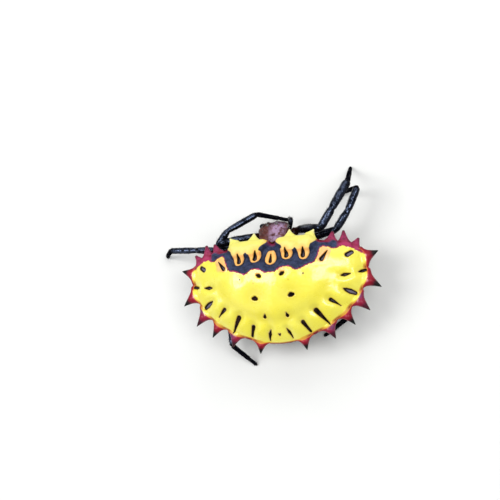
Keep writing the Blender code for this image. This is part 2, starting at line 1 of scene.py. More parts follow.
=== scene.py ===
"""The looks of a life-size spiny orb weaver: shell, spines, head, eyes, legs and bristles over its solids.

Shapes are made in millimetres in the spider's own frame: X to its right, Y to its head, Z up, with the
middle of the abdomen over X = Y = 0. Each finished mesh is then turned into metres and moved to where the
solids stand.
"""

import json
import math
import random
from collections import namedtuple

import bmesh
import bpy
import numpy as np
from bpy.props import FloatProperty, FloatVectorProperty, IntProperty, PointerProperty
from mathutils import Matrix, Vector, noise
from mathutils.bvhtree import BVHTree

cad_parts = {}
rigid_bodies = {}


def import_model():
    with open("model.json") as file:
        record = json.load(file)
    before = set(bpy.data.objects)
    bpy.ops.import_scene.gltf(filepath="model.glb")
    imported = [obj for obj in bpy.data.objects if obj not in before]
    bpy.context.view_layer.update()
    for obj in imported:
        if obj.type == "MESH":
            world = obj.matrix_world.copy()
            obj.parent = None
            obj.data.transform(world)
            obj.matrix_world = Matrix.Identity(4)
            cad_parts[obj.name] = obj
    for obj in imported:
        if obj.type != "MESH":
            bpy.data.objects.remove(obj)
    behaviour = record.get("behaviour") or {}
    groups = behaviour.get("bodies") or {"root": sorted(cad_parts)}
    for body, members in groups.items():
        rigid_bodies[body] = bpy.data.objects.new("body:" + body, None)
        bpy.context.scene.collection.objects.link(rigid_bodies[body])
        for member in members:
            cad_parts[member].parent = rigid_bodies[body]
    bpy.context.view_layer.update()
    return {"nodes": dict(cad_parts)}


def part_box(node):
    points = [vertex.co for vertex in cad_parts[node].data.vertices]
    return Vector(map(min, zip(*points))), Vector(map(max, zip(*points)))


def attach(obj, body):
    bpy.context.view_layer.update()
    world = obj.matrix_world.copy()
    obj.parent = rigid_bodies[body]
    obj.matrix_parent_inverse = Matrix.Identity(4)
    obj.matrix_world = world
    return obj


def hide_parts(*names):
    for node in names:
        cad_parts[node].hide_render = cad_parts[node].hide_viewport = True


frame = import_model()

bl_info = {
    "name": "Spiny Orb Weaver",
    "version": (1, 0, 0),
    "blender": (4, 5, 0),
    "location": "3D View > Sidebar > Spider",
    "description": "Builds the shell, head, legs and bristles of a life-size spiny orb weaver",
    "category": "Add Mesh",
}

MM = 0.001
SIDES = (("right", 1), ("left", -1))

# Abdomen, in plan: a wide shield, nearly straight in front and rounded behind.
RIM_HEIGHT = 3.8
RIM_MIDDLE_Y = 0.6
HALF_WIDTH = 6.8
FRONT_DEPTH = 2.6
FRONT_POWER = 4.0
REAR_DEPTH = 4.75
REAR_POWER = 1.75
FRONT_RISE = 1.3
RISE_FROM_TO = (math.radians(8), math.radians(40))
CROWN = 1.97
CROWN_POWER = 0.9
EDGE_ROUND = 0.38
EDGE_FADE_POWER = 0.5
BELLY_DEPTH = 2.02
BELLY_MIDDLE_Y = -0.9
BELLY_POINT_ROUND = 0.15
SWELL_INNER = (0.0, 0.7)
SWELL_OUTER = (2.9, 3.7)
NOTCH_SHARE = 0.4
SWELL_FORWARD = 0.45
SWELL_RISE = 0.4
SWELL_BACK_Y = (2.3, 2.9)
PUSHED_FROM_SHARE = 0.8
PUSHED_FRONT = (0.5, 0.9)
LOBE_RISE = 0.16
LOBE_TURN = 6.0
LOBE_FROM_TO = (0.6, 0.9)

# Kinds of spine, by colour.
CRIMSON = 0.0
DUSKY = 0.35
VIOLET = 1.0
YELLOW = 2.0
# Spines: where each roots on the edge (degrees from the side, positive to the front), its length, its
# heading, the width of its root, how far its tip bends up or down, and its kind.
Spine = namedtuple("Spine", "turn length heading width bend kind")
SPINES = (
    Spine(9.7, 1.08, 19, 1.02, 0.0, CRIMSON),
    Spine(-4.0, 1.28, -35, 1.04, -0.15, CRIMSON),
    Spine(-18.0, 1.26, -47, 0.98, -0.1, DUSKY),
    Spine(-30.5, 1.12, -54, 0.82, -0.2, CRIMSON),
    Spine(-46.0, 1.02, -67, 0.92, -0.2, DUSKY),
    Spine(-69.5, 0.88, -81, 0.76, -0.1, CRIMSON),
    Spine(18.3, 0.62, 56, 0.64, 0.1, VIOLET),
    Spine(23.2, 0.86, 89, 0.74, 0.15, VIOLET),
    Spine(29.0, 0.68, 74, 0.68, 0.1, VIOLET),
    Spine(40.5, 0.50, 54, 0.56, 0.0, YELLOW),
    Spine(61.5, 0.58, 93, 0.66, -0.1, YELLOW),
)
# So many spines, from the first, stand on low lobes of the shell.
LOBED_SPINES = 6
SPINE_ROOT_DEPTH = 0.55
SPINE_ROOT_THICKNESS = 0.44
SPINE_ROOT_WIDENING = 0.2
SPINE_ROUND_FROM = 0.35
SPINE_TIP_RADIUS = 0.03
BLUNT_TIP_RADIUS = 0.09
SPINE_HOLLOW_POWER = 1.05
SPINE_FLARE = 0.3
SPINE_FLARE_REACH = 0.17
SPINE_SIDES = 28
SPINE_CUTS = 20

# Markings of the upper side, in plan, for X from the middle line outwards; the left side mirrors them.
BAND = (
    (-1.0, 0.88), (0.4, 0.93), (0.8, 1.22), (1.18, 1.28), (1.5, 1.25), (1.8, 1.0), (2.05, 0.96),
    (2.4, 1.1), (2.75, 1.26), (3.15, 1.38), (3.42, 1.5), (3.65, 2.1), (3.78, 2.52), (3.95, 2.6),
    (4.3, 2.52), (4.62, 2.34), (4.95, 2.38), (5.25, 2.58), (5.7, 2.5), (6.05, 2.33), (6.3, 2.15),
    (6.9, 1.82), (8.0, 1.75), (8.0, 5.0), (-1.0, 5.0),
)
PLATEAU = (
    (0.36, 3.3), (0.6, 3.12), (0.84, 2.94), (0.95, 2.6), (1.75, 2.55), (1.9, 2.7), (2.1, 2.52), (3.0, 2.55),
    (3.1, 2.82), (3.4, 3.05), (3.56, 3.5), (3.9, 4.8), (0.6, 4.8), (0.36, 3.6),
)
RINGS = (
    (
        (-0.2, 2.66), (0.2, 2.66), (0.33, 2.45), (0.44, 2.1), (0.42, 1.82), (0.25, 1.62), (0.0, 1.54),
        (-0.2, 1.54),
    ),
    ((0.75, 2.75), (0.78, 2.3), (0.9, 1.98), (1.2, 1.86), (1.5, 1.9), (1.64, 2.2), (1.7, 2.75)),
    ((2.05, 2.72), (2.08, 2.2), (2.2, 1.85), (2.45, 1.73), (2.75, 1.78), (2.92, 2.1), (3.0, 2.75)),
    ((3.8, 2.5), (3.44, 1.52), (3.9, 1.4), (4.3, 1.7), (4.5, 2.1), (4.55, 2.33), (4.25, 2.5), (3.95, 2.57)),
)
# Soft orange patches: middle of each and its reach.
BLUSHES = (((0.95, 1.08), 0.34), ((4.2, 1.75), 0.3), ((1.2, 2.7), 0.3), ((2.5, 2.65), 0.3))
# Pits and slits: each a chain of rounds (across, forward, radius), widest where it is deepest.
PITS = (
    ((0.0, 1.8, 0.12), (0.0, 1.95, 0.1), (0.0, 2.36, 0.03)),
    ((1.22, 2.14, 0.16), (1.2, 2.34, 0.12), (1.15, 2.72, 0.03)),
    ((2.48, 2.02, 0.16), (2.5, 2.28, 0.12), (2.54, 2.6, 0.03)),
    ((3.82, 1.67, 0.15), (3.96, 1.86, 0.11), (4.25, 2.26, 0.02)),
    ((5.62, 1.88, 0.17), (5.88, 2.06, 0.15)),
    ((0.8, 0.75, 0.09), (0.9, 0.81, 0.13), (1.02, 0.87, 0.07)),
    ((1.29, -0.84, 0.11), (1.41, -0.79, 0.16), (1.56, -0.78, 0.1)),
    ((0.86, -2.2, 0.12), (0.81, -2.02, 0.025)),
    ((0.0, -3.56, 0.05), (0.06, -3.46, 0.03)),
    ((5.06, 0.41, 0.04), (5.28, 0.44, 0.12), (5.42, 0.46, 0.1), (5.74, 0.5, 0.015)),
    ((6.3, 0.6, 0.04), (6.46, 0.65, 0.1), (6.72, 0.74, 0.1)),
    ((5.1, -0.57, 0.04), (5.28, -0.67, 0.13), (5.55, -0.81, 0.18), (5.84, -0.95, 0.13)),
    ((4.14, -1.31, 0.13), (4.32, -1.44, 0.11), (4.56, -1.61, 0.05), (4.78, -1.79, 0.01)),
    ((3.02, -2.02, 0.17), (3.22, -2.27, 0.15), (3.5, -2.65, 0.09), (3.8, -3.05, 0.03)),
    ((1.93, -2.78, 0.14), (2.1, -3.1, 0.1), (2.26, -3.42, 0.08)),
    ((0.62, -3.12, 0.02), (0.74, -3.4, 0.11), (0.85, -3.68, 0.05), (0.88, -3.84, 0.02)),
)
SLITS_FROM = 9
# Violet patches where two slits run into the root of a spine: middle and reach.
VIOLET_ROOTS = (((6.15, -1.15), 0.26), ((3.95, -3.25), 0.24))
DOTS = (((2.45, 0.68), 0.045), ((1.35, 0.3), 0.01))
# Wide dents: middle, reach and depth.
DENTS = (
    ((1.4, -0.7), 1.0, 0.2), ((0.83, -2.2), 0.5, 0.1), ((0.9, 0.8), 0.34, 0.07), ((2.45, 0.66), 0.35, 0.05),
)

# How far a mark on a spine lies past the shell's edge grows towards the flanks and falls beside the spine.
MARK_LEAST_RADIUS = 0.05
MARK_ROOT_STEEPNESS = 4.0
FLANK_SPREAD = 0.17
BESIDE_FROM = 1.15
BESIDE_FALL = 1.3
# Marks wander from their outlines by this much, in waves of this size.
MARK_DRIFT = 0.05
MARK_DRIFT_SIZE = 1.3
FAR = 9.0
# Relief of the upper side. Lumps are layers of (size across, height, seed).
UPPER_LUMPS = ((0.9, 0.02, 3), (0.22, 0.006, 4))
PLATEAU_LUMPS = ((0.6, 0.07, 7),)
BAND_GRAINS = ((0.1, 0.012, 5),)
PIT_WALL = (0.05, -0.09)
PIT_LIP = 0.015
PIT_LIP_AT = 0.1
PIT_LIP_WIDTH = 0.07
# Share of painted grey sheen on the floors of the pits in the rings.
RING_PIT_GREY = 0.45
TROUGH_END = (3.6, 4.9)
TROUGH_END_DEPTH = 0.35
RING_DEPTH = 0.4
SLIT_GROOVE = 0.15
SLIT_GROOVE_WIDTH = 0.24
EDGE_GROOVE = 0.15
EDGE_GROOVE_AT = 0.66
EDGE_GROOVE_WIDTH = 0.1
RELIEF_ON_SPINES = 0.25
REAR_EDGE_DROP = 0.11
YELLOW_SPINE_LIFT = 0.16
# Relief of the belly; each ring round the spinnerets by its radius, width and height.
BELLY_LUMPS = ((0.4, 0.035, 6),)
PLEATS = 44.0
PLEAT_HEIGHT = 0.045
SPINNERET_RINGS = ((0.95, 0.14, 0.12), (1.25, 0.1, -0.05))
LUNG_MIDDLE = (0.95, 0.35)
LUNG_REACH = (0.55, 0.42)
LUNG_HEIGHT = 0.09
FURROW_Y = -0.16
FURROW_BEND = 0.1
FURROW_DEPTH = 0.09
FURROW_WIDTH = 0.07

# Head.
HEAD_TURN = math.radians(3)
HEAD_MIDDLE = Vector((-0.36, 3.6, 0.0))
HEAD_HALF_LENGTH = 1.62
THORAX_HALF_WIDTH = 1.4
BROW_HALF_WIDTH = 1.18
CARAPACE_TOP = 3.85
CARAPACE_REAR_TOP = 3.15
CARAPACE_BROW_TOP = 3.45
HEAD_SEAM_REAR = 2.35
HEAD_SEAM_FRONT = 2.75
STERNUM_UNDER = 1.45
MOUTH_ROOF = 2.4
STERNUM_TUCK = 0.56
HEAD_FRONT_POWER = 6.0
HEAD_REAR_POWER = 2.6
HEAD_BOX_POWER = 0.8
# Where along the head, from -1 at its rear to 1 at its front, each change of its section starts and ends.
NECK_TO_BROW = (-0.1, 0.75)
REAR_CLIMB = (-0.9, 0.15)
BROW_FALL = (0.35, 1.0)
SEAM_CLIMB = (-0.5, 0.5)
MOUTH_CLIMB = (0.1, 0.5)
TUCK_FADE = 0.26
# Relief of the carapace: the fovea with the spokes round it, the neck's two grooves and the eye mounds.
HEAD_LUMPS = ((0.16, 0.008, 11), (0.5, 0.02, 12))
FOVEA = (0.03, 0.56)
FOVEA_STRETCH = 0.8
FOVEA_DEPTH = 0.16
FOVEA_WIDTH = 0.2
SPOKES = 8.0
SPOKE_DEPTH = 0.035
NECK_GROOVE = (0.45, 0.95)
NECK_GROOVE_END = 1.3
NECK_DEPTH = 0.07
NECK_WIDTH = 0.1
EYE_MOUND = 0.045
EYE_MOUND_REACH = 1.2
# Lilac-grey over the head's middle and right, partly pale down and partly a painted sheen: its middle, slant
# and width.
DOWN_AND_SHEEN_MIDDLE = 0.22
DOWN_AND_SHEEN_SLANT = 0.2
DOWN_AND_SHEEN_WIDTH = 0.62
# Eyes, against the size of their solids.
EYE_FULLNESS = 0.58
EYE_FLATNESS = 0.86
EYE_SKIRT = 1.04
EYE_SUNK = 0.45
# Mouth, in the head's own frame: each length's root and tip on the right side.
MAXILLA = ((0.34, 0.0, 1.62), (0.25, 0.72, 1.25))
MAXILLA_RADIUS = 0.325
LIP = ((0.0, 0.1, 1.6), (0.0, 0.5, 1.42))
LIP_RADIUS = 0.2
CHELICERA = ((0.42, 1.2, 2.75), (0.41, 1.42, 0.98))
CHELICERA_RADIUS = 0.33
FANG_BEND = Vector((0.0, 0.02, -0.14))
FANG_TIP = (0.1, 1.36, 0.9)
# Waist: its end at the head, in the head's own frame, its end at the abdomen, and its radii there and
# between.
WAIST_AT_HEAD = (0.0, -1.2, 2.68)
WAIST_AT_ABDOMEN = Vector((-0.1, 0.9, 2.62))
WAIST_RADII = (0.34, 0.26)

# Legs: how far from the middle line each coxa starts and ends, and how high.
COXA_REACH_IN = 0.98
COXA_SUNK = 0.45
COXA_REACH_OUT = 1.66
COXA_HEIGHT_IN = 1.8
COXA_HEIGHT_OUT = 1.6
# Place along the body and heading of each coxa, its radius, and how far the femur arches.
COXAE = {
    1: (0.12, 34, 0.38, 0.28),
    2: (-0.22, 8, 0.36, 0.28),
    3: (-0.60, -18, 0.34, 0.15),
    4: (-0.92, -46, 0.38, -0.06),
}
# Knee, end of the patella, end of the tibia, end of the metatarsus and foot of each leg, then the radii
# of its femur, tibia and foot.
LEGS = {
    ("right", 1): (
        ((3.50, 4.22, 4.0), (4.48, 5.60, 4.05), (5.62, 7.70, 3.2), (5.28, 8.85, 1.0), (5.15, 9.40)),
        (0.34, 0.34, 0.19),
    ),
    ("right", 2): (
        ((4.42, 4.14, 3.0), (5.47, 5.48, 3.1), (6.25, 7.18, 2.9), (4.75, 7.38, 1.0), (4.20, 7.44)),
        (0.32, 0.29, 0.18),
    ),
    ("right", 3): (
        ((3.05, 2.15, 2.35), (3.85, 1.85, 2.3), (4.75, 1.25, 1.75), (5.00, 0.70, 0.6), (5.05, 0.35)),
        (0.25, 0.22, 0.17),
    ),
    ("right", 4): (
        ((4.15, 0.75, 1.95), (4.45, -0.20, 2.0), (4.45, -2.45, 1.65), (2.95, -3.17, 0.7), (2.25, -3.42)),
        (0.30, 0.26, 0.18),
    ),
    ("left", 1): (
        ((-4.84, 3.92, 3.45), (-4.00, 4.92, 3.4), (-1.86, 6.10, 2.6), (-0.62, 5.93, 0.9), (-0.02, 5.85)),
        (0.32, 0.26, 0.18),
    ),
    ("left", 2): (
        ((-5.41, 3.64, 2.7), (-6.86, 3.77, 2.85), (-9.11, 4.03, 2.45), (-9.98, 3.98, 0.85), (-10.28, 3.96)),
        (0.30, 0.25, 0.18),
    ),
    ("left", 3): (
        ((-3.45, 2.05, 2.35), (-4.25, 1.75, 2.3), (-5.05, 1.15, 1.75), (-5.35, 0.55, 0.6), (-5.45, 0.20)),
        (0.25, 0.22, 0.17),
    ),
    ("left", 4): (
        ((-4.15, -0.4, 1.9), (-4.75, -1.3, 1.95), (-4.72, -3.72, 1.6), (-3.78, -4.74, 0.62), (-3.38, -5.18)),
        (0.30, 0.25, 0.18),
    ),
}
# How wide each length is along its way, against its full radius: how far, how wide.
SWELLS = {
    "coxa": ((0.0, 0.85), (0.3, 1.0), (0.8, 0.95), (1.0, 0.8)),
    "femur": ((0.0, 0.62), (0.1, 0.8), (0.3, 0.97), (0.55, 1.0), (0.85, 0.9), (0.96, 0.86), (1.0, 0.7)),
    "patella": ((0.0, 0.78), (0.15, 0.95), (0.6, 1.0), (0.9, 0.9), (1.0, 0.72)),
    "tibia": ((0.0, 0.74), (0.1, 0.93), (0.5, 1.0), (0.85, 0.97), (0.95, 0.92), (1.0, 0.72)),
    "metatarsus": ((0.0, 0.95), (0.08, 1.1), (0.3, 1.02), (0.85, 0.98), (0.95, 1.02), (1.0, 0.8)),
    "chelicera": ((0.0, 0.8), (0.3, 1.08), (0.6, 0.95), (0.85, 0.75), (1.0, 0.5)),
    "tarsus": ((0.0, 0.75), (0.15, 0.92), (0.6, 0.88), (0.9, 0.78), (1.0, 0.62)),
}
# Lengths of a leg, from the body outwards, with the sizes of its joints and of its foot.
LEG_PARTS = ("coxa", "femur", "patella", "tibia", "metatarsus", "tarsus")
PATELLA_SHARE = 0.98
TARSUS_SHARE = 0.92
FOOT_TIP_HEIGHT = 0.1
FOOT_FLAT = 0.004
JOINT_SHARE = 0.72
JOINT_REACH = 0.22
# How dull the thighs and the undersides are, from 0 to 1.
THIGH_DULLNESS = 0.8
DULL_UNDERSIDE = 0.6
# Claws: how far each stands to the side, its reach and its thickness.
CLAWS = ((0.045, 0.15, 0.02), (-0.045, 0.15, 0.02), (0.0, 0.09, 0.014))
CLAW_SUNK = 0.04
CLAW_ARCH = 0.05
CLAW_DROP = 0.07
# Bristles: how much their lengths vary, how far they stand up from the skin, how much of each lies before
# and after its bend, and the size of each in the texture map.
LEG_BRISTLE_LENGTH = 0.16
LEG_BRISTLE_RADIUS = 0.011
BRISTLE_LENGTHS = (0.6, 1.25)
BRISTLE_STANDING = (0.55, 0.9)
BRISTLE_BEFORE_BEND = 0.55
BRISTLE_PAST_BEND = 0.5
BRISTLE_SUNK = 0.02
BRISTLE_LOWEST = 0.12
BRISTLE_FLOOR_GAP = 0.03
BRISTLE_UV = 0.0015
# The ways that the hairs of the head and of the mouth and spinnerets lean.
HEAD_LEAN = Vector((0.0, 0.75, -0.1))
DOWN_LEAN = Vector((0.0, 0.1, -0.8))

# Palps: hip, knee and tip in the head's own frame, where the ankle lies, and how full each length is.
PALPS = {
    "right": (Vector((0.98, 1.1, 2.16)), Vector((1.24, 1.76, 2.42)), Vector((0.78, 2.12, 1.15))),
    "left": (Vector((-0.98, 1.1, 2.16)), Vector((-1.2, 1.66, 2.25)), Vector((-0.84, 1.92, 1.0))),
}
PALP_RADIUS = 0.2
PALP_ANKLE = 0.42
PALP_PARTS = (("femur", 1.0), ("patella", 0.92), ("tarsus", 0.95))

# Spinnerets: a mound, four tubes that lean together on it, and a small knob behind them.
SPINNERET_Y = -1.1
SPINNERET_TIP = 0.55
MOUND_HEIGHTS = (1.75, 0.98)
MOUND_RADII = (0.6, 0.42)
TUBE_ROWS = (0.2, -0.22)
TUBE_RADIUS = 0.19
TUBE_ROOT_X = 0.2
TUBE_ROOT_HEIGHT = 1.15
TUBE_TIP_X = 0.11
HIND_KNOB = ((-0.5, 1.15), (-0.42, 0.8))
HIND_KNOB_RADIUS = 0.13

# The photo's camera: leaned to the spider's right and back from straight above, then rolled.
CAMERA_TILT_RIGHT = math.radians(18)
CAMERA_TILT_BACK = math.radians(10)
CAMERA_ROLL = math.radians(6.3)
CAMERA_LENS = 105.0
CAMERA_SENSOR = 36.0
CAMERA_NEAREST = 0.001
PHOTO_SIZE = 500.0
PHOTO_MM_PER_PIXEL = 0.075
ABDOMEN_PIXEL = (279.8, 288.7)

# Soft lights: name, place, width and height in metres, and share of the main power.
LIGHTS = (
    ("key_left", (-0.1, 0.016, 0.2), (0.15, 0.075), 0.6),
    ("key_right", (0.11, 0.004, 0.2), (0.12, 0.085), 0.55),
    ("fill", (-0.16, -0.1, 0.12), (0.14, 0.14), 0.1),
    ("front", (0.05, 0.16, 0.14), (0.28, 0.12), 0.34),
)
WORLD_COLOUR = (0.93, 0.96, 1.0, 1.0)
WORLD_STRENGTH = 0.41


# Settings


class ShellSettings(bpy.types.PropertyGroup):
    """Sizes and colours of the abdomen's shell."""

    grain: FloatProperty(
        name="Grain", description="Side of the squares of its skin", default=0.000046, unit="LENGTH"
    )
    pit_depth: FloatProperty(
        name="Pit depth", description="How deep the pits go", default=0.00022, unit="LENGTH"
    )
    band_dip: FloatProperty(
        name="Band dip", description="How low the dark band lies", default=0.00042, unit="LENGTH"
    )
    yellow: FloatVectorProperty(
        name="Yellow", description="Ground colour", default=(0.85, 0.755, 0.045), subtype="COLOR", size=3
    )
    orange: FloatVectorProperty(
        name="Orange", description="Rings round the pits", default=(0.94, 0.46, 0.12), subtype="COLOR", size=3
    )
    slate: FloatVectorProperty(
        name="Slate", description="Dark front band", default=(0.03, 0.042, 0.095), subtype="COLOR", size=3
    )
    crimson: FloatVectorProperty(
        name="Crimson", description="Spines", default=(0.23, 0.005, 0.016), subtype="COLOR", size=3
    )


class LimbSettings(bpy.types.PropertyGroup):
    """Sizes and colours of the legs and palps."""

    grain: FloatProperty(
        name="Grain", description="Side of the squares of its skin", default=0.000028, unit="LENGTH"
    )
    warts: FloatProperty(
        name="Warts", description="Height of the small bumps", default=0.00001, unit="LENGTH"
    )
    bristles: IntProperty(name="Bristles", description="Bristles on each leg", default=190)
    black: FloatVectorProperty(
        name="Black", description="Ground colour", default=(0.002, 0.002, 0.0035), subtype="COLOR", size=3
    )


class HeadSettings(bpy.types.PropertyGroup):
    """Sizes and colours of the head."""

    grain: FloatProperty(
        name="Grain", description="Side of the squares of its skin", default=0.00003, unit="LENGTH"
    )
    hairs: IntProperty(name="Hairs", description="Fine hairs on the carapace", default=420)
    brown: FloatVectorProperty(
        name="Brown", description="Ground colour", default=(0.12, 0.024, 0.014), subtype="COLOR", size=3
    )


class StageSettings(bpy.types.PropertyGroup):
    """Floor and light."""

    floor_size: FloatProperty(name="Floor", description="Side of the floor", default=0.6, unit="LENGTH")
    floor_colour: FloatVectorProperty(
        name="Floor colour", description="Pale floor", default=(0.78, 0.78, 0.76), subtype="COLOR", size=3
    )
    light_power: FloatProperty(
        name="Light", description="Power of the main light", default=0.42, unit="POWER"
    )


# Small sums


def smooth_step(start, end, value):
    """0 before start, 1 after end and a smooth climb between them, for numbers and arrays."""
    share = np.clip((value - start) / (end - start), 0.0, 1.0)
    return share * share * (3.0 - 2.0 * share)


def mix(first, second, share):
    """The value a share of the way from first to second."""
    return first + (second - first) * share


def width_at(swell, share):
    """The width that a table of (how far, how wide) gives at a share of the way."""
    marks, widths = zip(*swell)
    return float(np.interp(share, marks, widths))


def spread_noise(places, size, seed):
    """Smooth noise between about -1 and 1 at each place, with features of the given size."""
    offset = Vector((seed * 17.3, seed * 5.1, seed * 9.7))
    return np.array([noise.noise(Vector(place) / size + offset) for place in places])


def lumps(places, layers):
    """Smooth noise in layers of (size across, height, seed)."""
    return sum(height * spread_noise(places, size, seed) for size, height, seed in layers)


def bell(distance, reach):
    """1 at no distance, falling smoothly to nothing past the reach."""
    return np.exp(-((distance / reach) ** 2))


# Shape of the abdomen


def outline_radius(turn):
    """From the middle of the edge to the edge itself, in plan."""
    depth, power = (FRONT_DEPTH, FRONT_POWER) if math.sin(turn) > 0 else (REAR_DEPTH, REAR_POWER)
    across = abs(math.cos(turn) / HALF_WIDTH) ** power
    lengthwise = abs(math.sin(turn) / depth) ** power
    return (across + lengthwise) ** (-1.0 / power)


def side_angle(turn):
    """The turn folded to one side: 0 at the side, positive to the front, negative to the rear."""
    return math.atan2(math.sin(turn), abs(math.cos(turn)))


def edge_rise(turn):
    """How far the edge climbs towards the front."""
    return FRONT_RISE * smooth_step(*RISE_FROM_TO, side_angle(turn))


def swelling(across, in_notch=0.0):
    """1 on the two raised swellings of the front edge, less in the notch between them and 0 beside them."""
    in_front = mix(in_notch, 1.0, smooth_step(*SWELL_INNER, abs(across)))
    return in_front * (1.0 - smooth_step(*SWELL_OUTER, abs(across)))


def lobe(turn):
    """1 under each rear and side spine, falling to 0 between them."""
    angle = math.degrees(side_angle(turn))
    return max(bell(angle - spine.turn, LOBE_TURN) for spine in SPINES[:LOBED_SPINES])


def abdomen_point(turn, lift):
    """The abdomen's skin at a turn round it and a lift over its edge, as a ball's latitude."""
    share = math.cos(lift)
    reach = outline_radius(turn) * share
    rounding = EDGE_ROUND * math.sin(lift)
    across = math.cos(turn) * reach
    rise = edge_rise(turn) * share**2
    if lift >= 0:
        forward = RIM_MIDDLE_Y + math.sin(turn) * reach
        over_edge = math.sin(lift) ** EDGE_FADE_POWER
        height = rise + rounding + CROWN * (1.0 - share * share) ** CROWN_POWER
        height += LOBE_RISE * lobe(turn) * smooth_step(*LOBE_FROM_TO, share) * over_edge
        height += SWELL_RISE * swelling(across) * smooth_step(*SWELL_BACK_Y, forward) * over_edge
    else:
        forward = mix(BELLY_MIDDLE_Y, RIM_MIDDLE_Y, share) + math.sin(turn) * reach
        slope = math.hypot(share, BELLY_POINT_ROUND) - BELLY_POINT_ROUND
        slope_at_edge = math.hypot(1.0, BELLY_POINT_ROUND) - BELLY_POINT_ROUND
        height = rise + rounding - BELLY_DEPTH * (1.0 - slope / slope_at_edge)
    if math.sin(turn) > 0:
        pushed = smooth_step(PUSHED_FROM_SHARE, 1.0, share)
        pushed *= smooth_step(*PUSHED_FRONT, math.sin(turn) * reach / FRONT_DEPTH)
        forward += SWELL_FORWARD * swelling(across, NOTCH_SHARE) * pushed
    return Vector((across, forward, RIM_HEIGHT + height))


def on_side(degrees, side):
    """An angle in radians from the right side's degrees, mirrored for the left side."""
    return math.radians(degrees if side > 0 else 180 - degrees)


def spine_axis(spine, side):
    """Root on the edge and level heading of one spine."""
    root = abdomen_point(on_side(spine.turn, side), 0.0)
    heading = on_side(spine.heading, side)
    return root, Vector((math.cos(heading), math.sin(heading), 0.0))


def edge_normal(spine, side):
    """The level direction square to the shell's edge at one spine."""
    turn = on_side(spine.turn, side)
    step = math.radians(1.0)
    along = abdomen_point(turn + step, 0.0) - abdomen_point(turn - step, 0.0)
    return Vector((along.y, -along.x, 0.0)).normalized()


def spine_radius(spine, past_edge):
    """Half the width of a spine at so many millimetres past the shell's edge, flared at its root."""
    share = np.clip(past_edge / spine.length, 0.0, 1.0)
    tip = BLUNT_TIP_RADIUS if spine.kind == VIOLET else SPINE_TIP_RADIUS
    body = tip + (spine.width / 2 - tip) * (1.0 - share) ** SPINE_HOLLOW_POWER
    flare = SPINE_FLARE * spine.width * np.exp(-np.clip(past_edge, 0.0, None) / SPINE_FLARE_REACH)
    inside = SPINE_ROOT_WIDENING * np.clip(-past_edge, 0.0, SPINE_ROOT_DEPTH)
    return body + flare * (1.0 - share) + inside


def spine_tip(spine):
    """The point of a spine on the right, but for its bend."""
    root, way = spine_axis(spine, 1)
    return root + way * spine.length


def spider_shift():
    """From the spider's own frame to the solids', in metres, by the spine that reaches furthest forward."""
    low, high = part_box("abdomen")
    foremost = max(spine_tip(spine).y for spine in SPINES)
    return Vector(((low[0] + high[0]) / 2, high[1] - foremost * MM, 0.0))


# Meshes


def skin_over(name, form, grain, rounds):
    """One closed skin over all the shapes of a mesh in the making, smoothed a few rounds."""
    rough_mesh = bpy.data.meshes.new(name + "_rough")
    form.to_mesh(rough_mesh)
    form.free()
    rough = bpy.data.objects.new(name + "_rough", rough_mesh)
    bpy.context.scene.collection.objects.link(rough)
    cover = rough.modifiers.new("skin", "REMESH")
    cover.mode = "VOXEL"
    cover.voxel_size = grain / MM
    graph = bpy.context.evaluated_depsgraph_get()
    covered = bpy.data.meshes.new_from_object(rough.evaluated_get(graph))
    bpy.data.objects.remove(rough, do_unlink=True)
    bpy.data.meshes.remove(rough_mesh)
    skin = bmesh.new()
    skin.from_mesh(covered)
    bpy.data.meshes.remove(covered)
    drop_scraps(skin)
    axes = {"use_axis_x": True, "use_axis_y": True, "use_axis_z": True}
    for _ in range(rounds):
        bmesh.ops.smooth_vert(skin, verts=skin.verts, factor=0.5, **axes)
    skin.normal_update()
    return skin


def drop_scraps(form):
    """Leaves only the largest closed surface."""
    unseen = set(form.verts)
    groups = []
    while unseen:
        group = {unseen.pop()}
        front = list(group)
        while front:
            for edge in front.pop().link_edges:
                for vert in edge.verts:
                    if vert in unseen:
                        unseen.remove(vert)
                        group.add(vert)
                        front.append(vert)
        groups.append(group)
    largest = max(groups, key=len)
    scraps = [vert for group in groups if group is not largest for vert in group]
    bmesh.ops.delete(form, geom=scraps, context="VERTS")


def places_of(form):
    """Places and normals of all vertices, as arrays."""
    places = np.array([vert.co[:] for vert in form.verts])
    normals = np.array([vert.normal[:] for vert in form.verts])
    return places, normals


def upwardness(form):
    """How far each vertex faces up, from -1 to 1."""
    form.normal_update()
    return np.array([vert.normal.z for vert in form.verts])


def push(form, offsets):
    """Moves each vertex by its own offset."""
    for vert, offset in zip(form.verts, offsets):
        vert.co += Vector(offset)


def store(form, marks):
    """Keeps numbers for each vertex, under names that materials can read."""
    for name, values in marks.items():
        layer = form.verts.layers.float.get(name) or form.verts.layers.float.new(name)
        for vert, value in zip(form.verts, values):
            vert[layer] = float(value)


def join(form, extra):
    """Adds a small finished shape to a larger one in the making."""
    mesh = bpy.data.meshes.new("extra")
    extra.to_mesh(mesh)
    extra.free()
    form.from_mesh(mesh)
    bpy.data.meshes.remove(mesh)


def cut_cone(sides, cuts, tip_radius=1.0):
    """A closed cone or drum of unit height round the Z axis, cut across into even lengths."""
    cone = bmesh.new()
    bmesh.ops.create_cone(cone, cap_ends=True, segments=sides, radius1=1.0, radius2=tip_radius, depth=1.0)
    flanks = [edge for edge in cone.edges if abs(edge.verts[0].co.z - edge.verts[1].co.z) > 0.5]
    bmesh.ops.subdivide_edges(cone, edges=flanks, cuts=cuts)
    return cone


